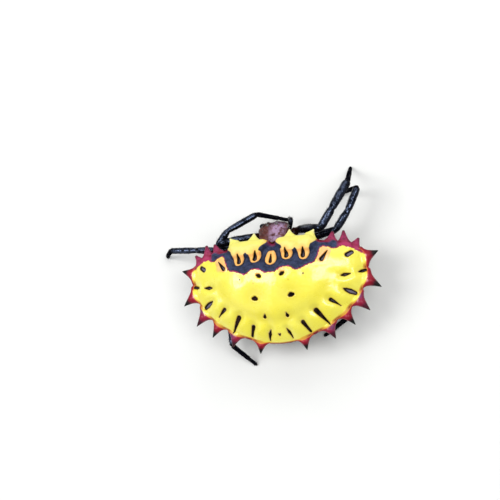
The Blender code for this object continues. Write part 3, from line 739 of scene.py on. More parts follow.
def add_tube(form, route, radius_at, sides, cuts, thickness_at=lambda share: 1.0):
    """Adds a closed tube along a route, whose width and flatness follow its way."""
    tube = cut_cone(sides, cuts)
    steps = cuts + 1
    middles = [route(step / steps) for step in range(steps + 1)]
    ways = [(after - before).normalized() for before, after in zip(middles, middles[1:])]
    ways.append(ways[-1])
    up = Vector((0, 0, 1)) if abs(ways[0].z) < 0.9 else Vector((1, 0, 0))
    frames = []
    for way in ways:
        across = way.cross(up).normalized()
        up = across.cross(way).normalized()
        frames.append((across, up.copy()))
    for vert in tube.verts:
        share = vert.co.z + 0.5
        step = round(share * steps)
        across, lifted = frames[step]
        outward = across * vert.co.x + lifted * (vert.co.y * thickness_at(share))
        vert.co = middles[step] + outward * radius_at(share)
    join(form, tube)


def add_ball(form, middle, radius, sides=16):
    """Adds a ball, as the soft skin in a joint."""
    place = Matrix.Translation(middle)
    bmesh.ops.create_uvsphere(form, u_segments=sides, v_segments=sides // 2, radius=radius, matrix=place)


def straight(start, end, arch=0.0):
    """A route between two points that bows up by the arch."""
    return lambda share: start.lerp(end, share) + Vector((0, 0, arch * 4.0 * share * (1.0 - share)))


def finish_piece(name, form, material, replaced):
    """Turns the shape into metres in the solids' frame, makes it one object on the root body and hides the
    solids it replaces.
    """
    bmesh.ops.recalc_face_normals(form, faces=form.faces)
    to_solids = Matrix.Translation(spider_shift()) @ Matrix.Scale(MM, 4)
    bmesh.ops.transform(form, verts=form.verts, matrix=to_solids)
    mesh = bpy.data.meshes.new(name)
    form.to_mesh(mesh)
    form.free()
    mesh.shade_smooth()
    mesh.materials.append(material)
    piece = bpy.data.objects.new(name, mesh)
    bpy.context.scene.collection.objects.link(piece)
    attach(piece, "root")
    if replaced:
        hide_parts(*replaced)


# Materials


# Colours that no setting holds.
TINTS = {
    "pale yellow and painted highlight": (0.84, 0.77, 0.08),
    "deep yellow": (0.82, 0.69, 0.03),
    "olive painted shade of the dents": (0.56, 0.47, 0.02),
    "blue painted glints": (0.08, 0.09, 0.2),
    "dark slate": (0.016, 0.022, 0.05),
    "black slate": (0.010, 0.014, 0.032),
    "notch crimson": (0.36, 0.03, 0.10),
    "border red": (0.25, 0.008, 0.045),
    "border pink": (0.42, 0.05, 0.15),
    "light orange": (0.95, 0.53, 0.17),
    "crest pale yellow and painted highlight": (0.75, 0.70, 0.20),
    "crest orange": (0.84, 0.57, 0.17),
    "crest amber and painted shade": (0.76, 0.57, 0.08),
    "root amber": (0.80, 0.38, 0.03),
    "root vermilion": (0.58, 0.10, 0.03),
    "root red": (0.38, 0.018, 0.03),
    "lit crimson": (0.32, 0.014, 0.045),
    "dark crimson": (0.14, 0.005, 0.016),
    "brown black": (0.03, 0.005, 0.008),
    "tip black": (0.004, 0.006, 0.005),
    "dusky violet": (0.13, 0.04, 0.12),
    "violet root": (0.26, 0.02, 0.06),
    "violet middle": (0.32, 0.03, 0.10),
    "violet point": (0.20, 0.012, 0.045),
    "violet end": (0.04, 0.008, 0.02),
    "violet shade": (0.11, 0.012, 0.035),
    "thorn yellow": (0.76, 0.70, 0.15),
    "thorn painted highlight cream": (0.84, 0.80, 0.36),
    "rim vermilion": (0.50, 0.10, 0.02),
    "rim violet": (0.24, 0.012, 0.06),
    "rim yellow": (0.84, 0.62, 0.04),
    "rim crimson": (0.20, 0.007, 0.02),
    "rim orange": (0.80, 0.45, 0.04),
    "belly black": (0.018, 0.009, 0.01),
    "belly brown": (0.06, 0.02, 0.016),
    "belly yellow": (0.75, 0.48, 0.03),
    "lung brown": (0.20, 0.07, 0.02),
    "pit amber": (0.62, 0.30, 0.03),
    "pit black": (0.006, 0.004, 0.004),
    "pit brown": (0.03, 0.016, 0.014),
    "pit painted sheen grey": (0.17, 0.15, 0.20),
    "sky blue reflection tint": (0.5, 0.63, 1.0),
    "blue black": (0.004, 0.0045, 0.008),
    "warm black": (0.028, 0.008, 0.006),
    "joint skin": (0.009, 0.007, 0.007),
    "dark brown": (0.06, 0.014, 0.012),
    "lilac down and painted sheen": (0.42, 0.28, 0.46),
    "underside and painted shade black": (0.014, 0.006, 0.006),
    "eye black": (0.004, 0.003, 0.003),
    "eye amber": (0.03, 0.012, 0.004),
    "bristle black": (0.006, 0.005, 0.007),
    "bristle brown": (0.04, 0.03, 0.028),
    "down brown": (0.10, 0.05, 0.06),
    "down grey": (0.28, 0.2, 0.26),
    "mouth bristle black": (0.015, 0.010, 0.012),
    "mouth bristle brown": (0.12, 0.08, 0.06),
}
# Where a Mix node keeps its share, its two colours and their blend.
MIX_SHARE, MIX_FIRST, MIX_SECOND, MIX_BLEND = 0, 6, 7, 2


class Value:
    """A number or colour that nodes work out; sums with it and ranges of it are more nodes."""

    def __init__(self, finish, socket):
        self.finish = finish
        self.socket = socket

    def sum(self, operation, other):
        """A Math node's result."""
        return self.finish.add("ShaderNodeMath", 0, {0: self, 1: other}, operation=operation)

    def __add__(self, other):
        return self.sum("ADD", other)

    def __sub__(self, other):
        return self.sum("SUBTRACT", other)

    def __mul__(self, other):
        return self.sum("MULTIPLY", other)

    def climb(self, start, end, low=0.0, high=1.0):
        """Maps start to end onto low to high, smoothly."""
        sockets = {"Value": self, "From Min": start, "From Max": end, "To Min": low, "To Max": high}
        return self.finish.add("ShaderNodeMapRange", "Result", sockets, interpolation_type="SMOOTHSTEP")

    def between(self, first, second):
        """The colour that lies this share of the way between two colours."""
        sockets = {MIX_SHARE: self, MIX_FIRST: first, MIX_SECOND: second}
        return self.finish.add("ShaderNodeMix", MIX_BLEND, sockets, data_type="RGBA")

    def ramp(self, stops):
        """The colour that a row of (position, colour) stops gives."""
        node = self.finish.tree.nodes.new("ShaderNodeValToRGB")
        self.finish.put(node, "Fac", self)
        elements = node.color_ramp.elements
        elements.remove(elements[-1])
        for index, (position, colour) in enumerate(stops):
            element = elements.new(position) if index else elements[0]
            element.position = position
            element.color = (*TINTS.get(colour, colour), 1.0)
        return Value(self.finish, node.outputs["Color"])


class Finish:
    """A node material in the making; its patterns are measured in millimetres on the object."""

    def __init__(self, name, **sockets):
        self.material = bpy.data.materials.new(name)
        self.material.use_nodes = True
        self.tree = self.material.node_tree
        self.shader = self.tree.nodes["Principled BSDF"]
        self.set(**sockets)
        places = self.add("ShaderNodeTexCoord", "Object", {})
        self.places = self.add("ShaderNodeMapping", "Vector", {"Vector": places})
        self.places.socket.node.inputs["Scale"].default_value = (1 / MM, 1 / MM, 1 / MM)

    def put(self, node, socket, value):
        """Sets a socket to a number, a colour or the name of a tint, or links it to a value."""
        if isinstance(value, Value):
            self.tree.links.new(value.socket, node.inputs[socket])
        elif isinstance(value, (int, float)):
            node.inputs[socket].default_value = value
        else:
            colour = TINTS[value] if isinstance(value, str) else value
            node.inputs[socket].default_value = (*colour, 1.0)

    def set(self, **sockets):
        """Sets or links sockets of the shader, whose names have underscores for spaces."""
        for socket, value in sockets.items():
            self.put(self.shader, socket.replace("_", " "), value)

    def add(self, kind, result, sockets, **options):
        """Adds a node, sets its options, sets or links its sockets, and gives its result."""
        node = self.tree.nodes.new(kind)
        for option, value in options.items():
            setattr(node, option, value)
        for socket, value in sockets.items():
            self.put(node, socket, value)
        return Value(self, node.outputs[result])

    def stored(self, name):
        """The number that the mesh keeps under a name."""
        return self.add("ShaderNodeAttribute", "Fac", {}, attribute_name=name)

    def noise(self, size, detail=2.0, distortion=0.0):
        """Soft noise around a half, with features of the given size in millimetres."""
        sockets = {"Vector": self.places, "Scale": 1.0 / size, "Detail": detail, "Distortion": distortion}
        return self.add("ShaderNodeTexNoise", "Fac", sockets)

    def cells(self, size):
        """Distance to the nearest of scattered points."""
        return self.add("ShaderNodeTexVoronoi", "Distance", {"Vector": self.places, "Scale": 1.0 / size})

    def bump(self, height, depth, strength):
        """Raises the surface by up to depth millimetres."""
        sockets = {"Strength": strength, "Distance": depth * MM, "Height": height}
        self.set(Normal=self.add("ShaderNodeBump", "Normal", sockets))


class ShellFinish(Finish):
    """Glossy yellow shell with orange rings, slate band, dark pits, crimson spines and a dark underside.

    Each mark's edge is where its stored distance is nought, made uneven by ragged and slow noise.
    """

    def __init__(self, settings):
        super().__init__("spider_shell", Coat_Roughness=0.2, IOR=1.6)
        self.settings = settings
        self.fine = self.noise(0.35, 3.0)
        self.ragged = (self.noise(0.16, 4.0) - 0.5) * 0.22
        self.slow = (self.noise(0.6) - 0.5) * 0.12
        self.band = self.stored("band") + self.ragged + self.slow
        self.in_band = self.band.climb(0.02, -0.05)
        # Granules of the band: their bumps, and painted glints on them.
        self.specks = self.cells(0.11).climb(0.12, 0.3)
        self.plateau = self.stored("plateau") + self.slow
        self.mark = self.stored("spine") + self.ragged * 0.35
        self.tipward = self.stored("tipward") + self.ragged * 0.5
        self.rim = self.stored("edge") + self.slow * 0.25
        self.pit = self.stored("pit") + self.ragged * 0.1
        surface = self.ground()
        marks = (self.band_on, self.rings_on, self.plateau_on)
        for layer in (*marks, self.spines_on, self.rim_on, self.belly_on):
            surface = layer(surface)
        self.set(Base_Color=self.pits_on(surface))
        self.gloss()
        pores = self.cells(0.09).climb(0.0, 0.35)
        relief = pores * 0.25 + self.noise(0.12, 3.0) + self.specks * self.in_band * -2.0
        self.bump(relief, 0.012, 0.5)

    def ground(self):
        """Yellow in clouds, the paler ones partly painted highlights, olive painted shade in the dents and
        orange where it blushes.
        """
        colour = self.noise(2.2, 1.0).climb(0.35, 0.7).between(self.settings.yellow, "pale yellow and painted highlight")
        colour = self.fine.climb(0.45, 0.75, 0.0, 0.3).between(colour, "deep yellow")
        # Painted shade: olive in the dents and grooves.
        colour = self.stored("dent").climb(0.02, 0.32, 0.0, 0.6).between(colour, "olive painted shade of the dents")
        return self.stored("blush").climb(0.1, 0.9, 0.0, 0.85).between(colour, self.settings.orange)

    def band_on(self, surface):
        """Adds the slate band, specked with painted glints on its granules and darker by its edges, with a
        crimson border.
        """
        slate = self.specks.between("blue painted glints", self.settings.slate)
        slate = self.noise(0.3, 3.0).climb(0.4, 0.65).between(slate, "dark slate")
        to_edges = self.stored("ring").sum("MINIMUM", self.band * -1.0)
        slate = to_edges.climb(0.16, 0.02, 0.0, 0.75).between(slate, "black slate")
        slate = self.stored("violet").climb(0.2, 0.9).between(slate, "notch crimson")
        border = self.noise(0.25).climb(0.35, 0.65).between("border red", "border pink")
        slate = self.band.climb(-0.11, -0.05).between(slate, border)
        return self.band.climb(0.02, -0.02).between(surface, slate)

    def rings_on(self, surface):
        """Adds the orange rings."""
        ring = self.stored("ring") + self.slow * 0.35
        orange = self.fine.climb(0.35, 0.7).between(self.settings.orange, "light orange")
        return ring.climb(0.02, -0.01).between(surface, orange)

    def plateau_on(self, surface):
        """Adds the two raised yellow swellings in front, paler partly as a painted highlight, orange towards
        their edges and mottled amber partly as painted shade.
        """
        crest = self.plateau.climb(-0.3, -0.02, 0.0, 0.75).between("crest pale yellow and painted highlight", "crest orange")
        crest = self.noise(0.75).climb(0.44, 0.7, 0.0, 0.75).between(crest, "crest amber and painted shade")
        crest = self.stored("blush").climb(0.2, 1.0, 0.0, 0.6).between(crest, self.settings.orange)
        return self.plateau.climb(0.02, -0.02).between(surface, crest)

    def spines_on(self, surface):
        """Adds the spines: crimson with amber roots and black tips, or violet, or yellow in front."""
        crimson = tuple(self.settings.crimson)
        root = ((0.0, "root amber"), (0.13, "root vermilion"), (0.34, "root red"), (1.0, crimson))
        red = self.mark.climb(0.04, 0.32).ramp(root)
        # Painted highlight: lighter crimson on the upper side of each spine near its root.
        lit = self.mark.climb(0.15, 0.4) * self.tipward.climb(0.55, 0.25, 0.0, 0.35)
        red = (lit * self.stored("facing_up")).between(red, "lit crimson")
        tip = ((0.0, crimson), (0.3, "dark crimson"), (0.6, "brown black"), (1.0, "tip black"))
        red = self.tipward.climb(0.26, 0.46).between(red, self.tipward.climb(0.32, 0.76).ramp(tip))
        red = self.stored("violet_root").between(red, "dusky violet")
        length = (
            (0.0, "violet root"), (0.4, "violet middle"), (0.8, "violet point"), (1.0, "violet end"),
        )
        shade = self.noise(0.22, 3.0).climb(0.42, 0.66, 0.0, 0.75)
        violet = shade.between(self.tipward.ramp(length), "violet shade")
        # The yellow spines grow paler to their tips, a painted highlight.
        yellow = self.tipward.climb(0.1, 1.0).between("thorn yellow", "thorn painted highlight cream")
        kind = self.stored("kind")
        thorn = kind.climb(0.1, 0.9).between(red, violet)
        thorn = kind.climb(1.2, 1.8).between(thorn, yellow)
        return self.mark.climb(0.03, 0.11).between(surface, thorn)

    def rim_on(self, surface):
        """Adds a thin vermilion line above the edge and a crimson edge, both yellow to orange in front."""
        off_spine = self.mark.climb(0.11, 0.03)
        on_front = self.plateau.climb(0.08, -0.02)
        line = on_front.between(self.in_band.between("rim vermilion", "rim violet"), "rim yellow")
        surface = (off_spine * self.rim.climb(0.34, 0.27, 0.0, 0.7)).between(surface, line)
        edge = on_front.between("rim crimson", "rim orange")
        return (off_spine * self.rim.climb(0.28, 0.17)).between(surface, edge)

    def belly_on(self, surface):
        """Adds the dark underside with its ring of yellow spots and the plates of the lungs."""
        # Below their axis the spines take these dark colours too: partly their own dark edges, partly painted
        # shade on their undersides.
        under = self.noise(0.5, 4.0).climb(0.35, 0.65).between("belly black", "belly brown")
        spots = (self.cells(0.62) + self.ragged * 1.2).climb(0.3, 0.22)
        under = (spots * self.stored("belly_spots").climb(0.2, 0.8)).between(under, "belly yellow")
        under = self.stored("lungs").between(under, "lung brown")
        return self.rim.climb(0.03, -0.07).between(surface, under)

    def pits_on(self, surface):
        """Adds the dark pits and slits, amber round their mouths, some with a painted grey sheen on their
        floor.
        """
        surface = self.pit.climb(0.1, 0.01, 0.0, 0.5).between(surface, "pit amber")
        dark = self.fine.climb(0.4, 0.6).between("pit black", "pit brown")
        dark = (self.pit.climb(-0.05, -0.14) * self.stored("grey")).between(dark, "pit painted sheen grey")
        return self.pit.climb(0.03, 0.0).between(surface, dark)

    def gloss(self):
        """Makes the yellow glossy, and the spines, band, rim and pits dull."""
        low_rim = self.rim.climb(0.34, 0.24) * self.plateau.climb(0.0, 0.1)
        dull = self.mark.climb(0.1, 0.3).sum("MAXIMUM", self.in_band).sum("MAXIMUM", low_rim)
        out_of_pit = self.pit.climb(-0.03, 0.03)
        self.set(
            Roughness=self.noise(0.5).climb(0.3, 0.7, 0.26, 0.36) + self.in_band * 0.2,
            Specular_IOR_Level=out_of_pit * dull.climb(0.0, 1.0, 0.5, 0.12),
            Coat_Weight=out_of_pit * dull.climb(0.0, 1.0, 0.75, 0.06),
        )


def leg_finish(settings):
    """Near-black leg skin with small glints tinted blue-violet as a painted sky reflection, bumpy, and
    faintly red at its root.
    """
    finish = Finish("spider_leg", Specular_Tint="sky blue reflection tint", IOR=1.56)
    glints = finish.noise(0.3).climb(0.38, 0.54, 0.1, 1.0)
    lit = finish.stored("facing_up").climb(0.0, 1.0, 0.12, 1.0) * finish.stored("low").climb(1.0, 0.0)
    ground = finish.noise(0.35, 3.0).climb(0.35, 0.7).between(settings.black, "blue black")
    ground = finish.stored("warm").between(ground, "warm black")
    ground = finish.stored("joint").climb(0.3, 1.0, 0.0, 0.7).between(ground, "joint skin")
    roughness = finish.noise(0.15, 3.0).climb(0.3, 0.7, 0.1, 0.2)
    finish.set(Base_Color=ground, Roughness=roughness, Specular_IOR_Level=glints * lit)
    warts = finish.cells(0.1).climb(0.5, 0.0)
    furrows = finish.noise(0.26, 2.0, 1.0)
    finish.bump(warts * 0.5 + furrows, 0.018, 0.6)
    return finish.material


def head_finish(settings):
    """Red-brown carapace, finely pitted, with lilac-grey over its middle and right, partly pale down and
    partly a painted sheen, and near black below and where shade is painted on its edges and fovea.
    """
    finish = Finish("spider_carapace", Coat_Weight=0.05, Coat_Roughness=0.3, IOR=1.5)
    ground = finish.noise(0.4, 4.0, 0.6).climb(0.35, 0.7).between(settings.brown, "dark brown")
    streaks = finish.noise(0.3, 4.0, 0.4).climb(0.3, 0.62)
    # Lilac-grey in streaks: partly pale down, partly a painted sheen.
    down_and_sheen = (finish.stored("down_and_sheen") * streaks).climb(0.05, 0.85, 0.0, 0.78)
    # Near black below, with painted shade in the fovea and along the edges.
    dark = finish.stored("dark")
    ground = dark.between(down_and_sheen.between(ground, "lilac down and painted sheen"), "underside and painted shade black")
    roughness = finish.noise(0.12, 3.0).climb(0.3, 0.7, 0.3, 0.5)
    shine = dark.climb(0.1, 0.6, 0.3, 0.05)
    finish.set(Base_Color=ground, Roughness=roughness, Specular_IOR_Level=shine)
    finish.bump(finish.cells(0.09).climb(0.0, 0.5) + finish.noise(0.06), 0.009, 0.6)
    return finish.material


def eye_finish():
    """Polished near-black eye with a faint amber depth."""
    finish = Finish("spider_eye", Roughness=0.06, Coat_Weight=1.0, Coat_Roughness=0.03, IOR=1.55)
    finish.set(Base_Color=finish.noise(0.2, 1.0).climb(0.3, 0.7).between("eye black", "eye amber"))
    return finish.material


def bristle_finish(name, dark, pale):
    """Stiff hair, a little paler here and there."""
    finish = Finish(name, Roughness=0.38)
    finish.set(Base_Color=finish.noise(0.5, 1.0).climb(0.4, 0.65).between(dark, pale))
    return finish.material


def floor_finish(settings):
    """Pale matt floor with the faintest mottling."""
    finish = Finish("pale_floor", Roughness=0.75)
    pale = tuple(settings.floor_colour)
    shaded = tuple(part * 0.975 for part in pale)
    finish.set(Base_Color=finish.noise(9.0).climb(0.3, 0.7).between(pale, shaded))
    return finish.material


# Marks on the shell


def gap_to(places, middle):
    """Distance of each place to one point."""
    return np.linalg.norm(places - np.array(middle), axis=1)


def gap_to_line(places, start, end):
    """Distance of each place to the line between two points, and how far along the nearest point is."""
    start = np.array(start)
    step = np.array(end) - start
    share = np.clip((places - start) @ step / (step @ step), 0.0, 1.0)
    return np.linalg.norm(places - start - share[:, None] * step, axis=1), share


def strongest(plan, patches):
    """1 in the middle of each soft patch, falling to 0 past its reach."""
    return np.max([bell(gap_to(plan, middle), reach) for middle, reach in patches], axis=0)


def folded(plan):
    """Places in plan with the left side laid over the right."""
    return np.stack([np.abs(plan[:, 0]), plan[:, 1]], axis=1)


def to_outline(places, outline):
    """Signed distance in plan to a closed outline, negative inside."""
    corners = np.array(outline)
    nearest = np.full(len(places), np.inf)
    inside = np.zeros(len(places), bool)
    for start, end in zip(corners, np.roll(corners, -1, axis=0)):
        nearest = np.minimum(nearest, gap_to_line(places, start, end)[0])
        step = end - start
        crosses = (start[1] > places[:, 1]) != (end[1] > places[:, 1])
        slope = step[0] / step[1] if step[1] else 0.0
        inside ^= crosses & (places[:, 0] < start[0] + (places[:, 1] - start[1]) * slope)
    return np.where(inside, -nearest, nearest)


def rounded(outline, rounds=2):
    """The outline with its corners cut off again and again, each time by a fifth of the side."""
    corners = np.array(outline)
    for _ in range(rounds):
        following = np.roll(corners, -1, axis=0)
        cuts = (mix(corners, following, 0.2), mix(corners, following, 0.8))
        corners = np.stack(cuts, axis=1).reshape(-1, 2)
    return corners


def to_chain(places, rounds):
    """Signed distance in plan to a mark drawn along a chain of rounds."""
    nearest = np.full(len(places), np.inf)
    for head, tail in zip(rounds, rounds[1:]):
        gap, share = gap_to_line(places, head[:2], tail[:2])
        nearest = np.minimum(nearest, gap - mix(head[2], tail[2], share))
    return nearest


def spine_marks(places, outside):
    """How each place lies on its nearest spine.

    Gives the millimetres past the shell's edge, more towards the spine's flanks, then the share of the way
    to the tip, the spine's kind, the height over its axis, and how surely the place belongs to a spine.
    """
    farness = np.full(len(places), np.inf)
    marks = np.zeros((4, len(places)))
    closeness = np.zeros(len(places))
    for _, side in SIDES:
        for spine in SPINES:
            root, way = (np.array(vector) for vector in spine_axis(spine, side))
            from_root = places - root
            along = from_root @ way
            lateral = from_root[:, :2] - np.outer(along, way[:2])
            radius = np.maximum(spine_radius(spine, along), MARK_LEAST_RADIUS)
            off = np.linalg.norm(lateral, axis=1) / radius
            off += MARK_ROOT_STEEPNESS * np.clip(-SPINE_ROOT_DEPTH - along, 0.0, None)
            flank = FLANK_SPREAD * np.clip(off, 0.0, 1.0) ** 2
            flank -= BESIDE_FALL * np.clip(off - BESIDE_FROM, 0.0, None)
            share = along / spine.length
            over_axis = from_root[:, 2] - spine.bend * np.clip(share, 0.0, 1.0) ** 2
            here = (outside + flank, share, np.full(len(places), spine.kind), over_axis)
            marks = np.where(off < farness, here, marks)
            farness = np.minimum(farness, off)
            close = smooth_step(1.4, 0.7, off) * smooth_step(-0.35, 0.1, along)
            closeness = np.maximum(closeness, close)
    return (*marks, closeness)


def plan_share(places):
    """The share of the way from the middle to the edge, the turn and that way, for each place."""
    turns = np.arctan2(places[:, 1] - RIM_MIDDLE_Y, places[:, 0])
    reach = np.array([outline_radius(turn) for turn in turns])
    return np.hypot(places[:, 0], places[:, 1] - RIM_MIDDLE_Y) / reach, turns, reach


def belly_relief(places, share, turns):
    """Height of the belly's pleats, lung plates and spinneret rings, and the distance to the lungs."""
    relief = PLEAT_HEIGHT * np.cos(turns * PLEATS) * smooth_step(0.45, 0.8, share)
    relief = relief * smooth_step(1.02, 0.9, share) + lumps(places, BELLY_LUMPS)
    from_spinnerets = gap_to(places[:, :2], (0.0, SPINNERET_Y))
    for radius, width, height in SPINNERET_RINGS:
        relief += height * bell(from_spinnerets - radius, width)
    lungs = np.linalg.norm((folded(places) - LUNG_MIDDLE) / LUNG_REACH, axis=1)
    relief += LUNG_HEIGHT * smooth_step(1.1, 0.7, lungs)
    furrow = np.abs(places[:, 1] - FURROW_Y + FURROW_BEND * places[:, 0] ** 2)
    relief -= FURROW_DEPTH * bell(furrow, FURROW_WIDTH) * smooth_step(1.7, 1.3, np.abs(places[:, 0]))
    return relief, lungs


def shape_shell(form, settings):
    """Sinks pits, slits, dents and band into the upper side, pleats the belly, and stores every mark."""
    places, normals = places_of(form)
    drift = [spread_noise(places, MARK_DRIFT_SIZE, seed) * MARK_DRIFT for seed in (1, 2)]
    plan = folded(places[:, :2] + np.stack(drift, axis=1))
    across, forward = plan.T
    share, turns, reach = plan_share(places)
    over_rim = places[:, 2] - RIM_HEIGHT - np.array([edge_rise(turn) for turn in turns])
    mark, tipward, kind, over_axis, closeness = spine_marks(places, (share - 1.0) * reach)
    upper = smooth_step(0.0, 0.3, normals[:, 2]) * smooth_step(-0.05, 0.15, over_rim)
    lower = smooth_step(0.0, -0.3, normals[:, 2])

    band = to_outline(plan, BAND)
    plateau = to_outline(plan, PLATEAU)
    ring = np.min([to_outline(plan, rounded(outline)) for outline in RINGS], axis=0)
    pits = [to_chain(plan, rounds) for rounds in PITS]
    pit = np.min(pits, axis=0)
    slit = np.min(pits[SLITS_FROM:], axis=0)
    dots = [gap_to(plan, middle) - radius for middle, radius in DOTS]

    sink = settings.pit_depth / MM * smooth_step(*PIT_WALL, pit)
    sink -= PIT_LIP * bell(pit - PIT_LIP_AT, PIT_LIP_WIDTH)
    trough = smooth_step(0.0, 0.9, -band) * smooth_step(0.0, 0.32, plateau)
    trough *= mix(1.0, TROUGH_END_DEPTH, smooth_step(*TROUGH_END, across))
    sink += settings.band_dip / MM * trough * mix(RING_DEPTH, 1.0, smooth_step(-0.1, 0.12, ring))
    dent = SLIT_GROOVE * bell(slit, SLIT_GROOVE_WIDTH)
    dent += EDGE_GROOVE * bell(share - EDGE_GROOVE_AT, EDGE_GROOVE_WIDTH) * smooth_step(1.2, 0.4, forward)
    for middle, width, depth in DENTS:
        dent += depth * bell(gap_to(plan, middle), width)
    sink += dent
    waves = lumps(places, UPPER_LUMPS) + smooth_step(0.0, -0.3, plateau) * lumps(places, PLATEAU_LUMPS)
    in_slate = smooth_step(0.0, -0.1, band) * smooth_step(0.0, 0.05, plateau)
    in_slate *= smooth_step(0.0, 0.05, ring)
    waves += in_slate * lumps(places, BAND_GRAINS)
    pleats, lungs = belly_relief(places, share, turns)
    free = 1.0 - smooth_step(0.25, 0.75, closeness)
    offsets = normals * (pleats * lower * free)[:, None]
    offsets[:, 2] += (waves - sink) * upper * mix(RELIEF_ON_SPINES, 1.0, free)
    push(form, offsets)

    # Painted grey sheen on the floors of the outer pits and of the pits in the rings.
    grey = smooth_step(3.2, 5.0, across) + 0.7 * bell(forward - 1.9, 0.6) * smooth_step(3.0, 4.0, across)
    corner_violet = smooth_step(4.6, 5.3, across)
    notch_crimson = 0.6 * bell(across, 0.5) * bell(forward - 3.2, 0.25)
    over_edge = over_rim + REAR_EDGE_DROP * smooth_step(1.7, 1.1, across) * (forward < 0.0)
    over_spine = over_axis + mix(0.0, YELLOW_SPINE_LIFT, smooth_step(VIOLET, YELLOW, kind))
    marks = {
        "band": np.where(upper > 0.02, band, FAR),
        "plateau": np.where(upper > 0.02, plateau, FAR),
        "ring": ring,
        "pit": np.where(upper > 0.05, np.minimum(pit, np.min(dots, axis=0)), FAR),
        "grey": np.maximum(grey, RING_PIT_GREY * smooth_step(0.1, -0.1, ring)),
        "blush": strongest(plan, BLUSHES),
        "dent": dent,
        "facing_up": smooth_step(0.3, 0.9, upwardness(form)),
        "spine": mark,
        "tipward": tipward,
        "kind": kind,
        "violet_root": strongest(plan, VIOLET_ROOTS) * upper,
        "violet": corner_violet + notch_crimson,
        "edge": mix(over_edge, over_spine, smooth_step(0.0, 0.25, mark)),
        "belly_spots": smooth_step(0.5, 0.75, share),
        "lungs": smooth_step(1.05, 0.9, lungs) * lower,
    }
    store(form, marks)


def add_spine(form, spine, side):
    """Adds one thorn, which leaves the shell square to its edge, flared, and bends to its heading."""
    root, way = spine_axis(spine, side)
    out = edge_normal(spine, side)

    def past_edge(share):
        return spine.length * share**2 - SPINE_ROOT_DEPTH * (1.0 - share) ** 2

    def route(share):
        bend = Vector((0, 0, spine.bend * share**3))
        return root - out * (SPINE_ROOT_DEPTH * (1.0 - share) ** 2) + way * (spine.length * share**2) + bend

    def radius_at(share):
        return spine_radius(spine, past_edge(share))

    def thickness_at(share):
        rounded_off = smooth_step(0.0, SPINE_ROUND_FROM, past_edge(share) / spine.length)
        return mix(SPINE_ROOT_THICKNESS, 1.0, rounded_off)

    add_tube(form, route, radius_at, SPINE_SIDES, SPINE_CUTS, thickness_at)


# Shape of the head


def head_place(local):
    """A point given across, along and up in the head's own frame, in the spider's frame."""
    turned = Matrix.Rotation(HEAD_TURN, 3, "Z") @ Vector((local[0], local[1], 0.0))
    return Vector((HEAD_MIDDLE.x + turned.x, HEAD_MIDDLE.y + turned.y, local[2]))


def head_side(local, side):
    """A point of the head's right side, or its mirror image on the left."""
    return head_place((local[0] * side, local[1], local[2]))


def head_local(places):
    """Places in the head's own frame, as an array."""
    turn = np.array(Matrix.Rotation(HEAD_TURN, 3, "Z"))
    shifted = places - np.array((HEAD_MIDDLE.x, HEAD_MIDDLE.y, 0.0))
    return shifted @ turn


def head_point(around, share):
    """The head's skin at an angle round its length and a share of its half length, -1 rear to 1 front."""
    power = HEAD_FRONT_POWER if share > 0 else HEAD_REAR_POWER
    fullness = max(1.0 - abs(share) ** power, 0.0) ** (1.0 / power)
    width = mix(THORAX_HALF_WIDTH, BROW_HALF_WIDTH, smooth_step(*NECK_TO_BROW, share))
    rear_top = mix(CARAPACE_REAR_TOP, CARAPACE_TOP, smooth_step(*REAR_CLIMB, share))
    top = mix(rear_top, CARAPACE_BROW_TOP, smooth_step(*BROW_FALL, share))
    middle = mix(HEAD_SEAM_REAR, HEAD_SEAM_FRONT, smooth_step(*SEAM_CLIMB, share))
    across = math.cos(around)
    up = math.sin(around)
    across_full = math.copysign(abs(across) ** HEAD_BOX_POWER, across)
    up_full = math.copysign(abs(up) ** HEAD_BOX_POWER, up)
    under = mix(STERNUM_UNDER, MOUTH_ROOF, smooth_step(*MOUTH_CLIMB, share))
    height = (top - middle) if up > 0 else (middle - under)
    tuck = mix(1.0, STERNUM_TUCK, smooth_step(0.0, TUCK_FADE, -up))
    reach = width * fullness * across_full * tuck
    return Vector((reach, HEAD_HALF_LENGTH * share, middle + height * fullness * up_full))


def eye_seats():
    """Name, middle and size of each eye's solid, in millimetres in the spider's frame."""
    shift = spider_shift()
    seats = []
    for name in sorted(node for node in frame["nodes"] if node.startswith("eye_")):
        low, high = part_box(name)
        middle = ((Vector(low) + Vector(high)) / 2 - shift) / MM
        seats.append((name, middle, (high[2] - low[2]) / MM))
    return seats


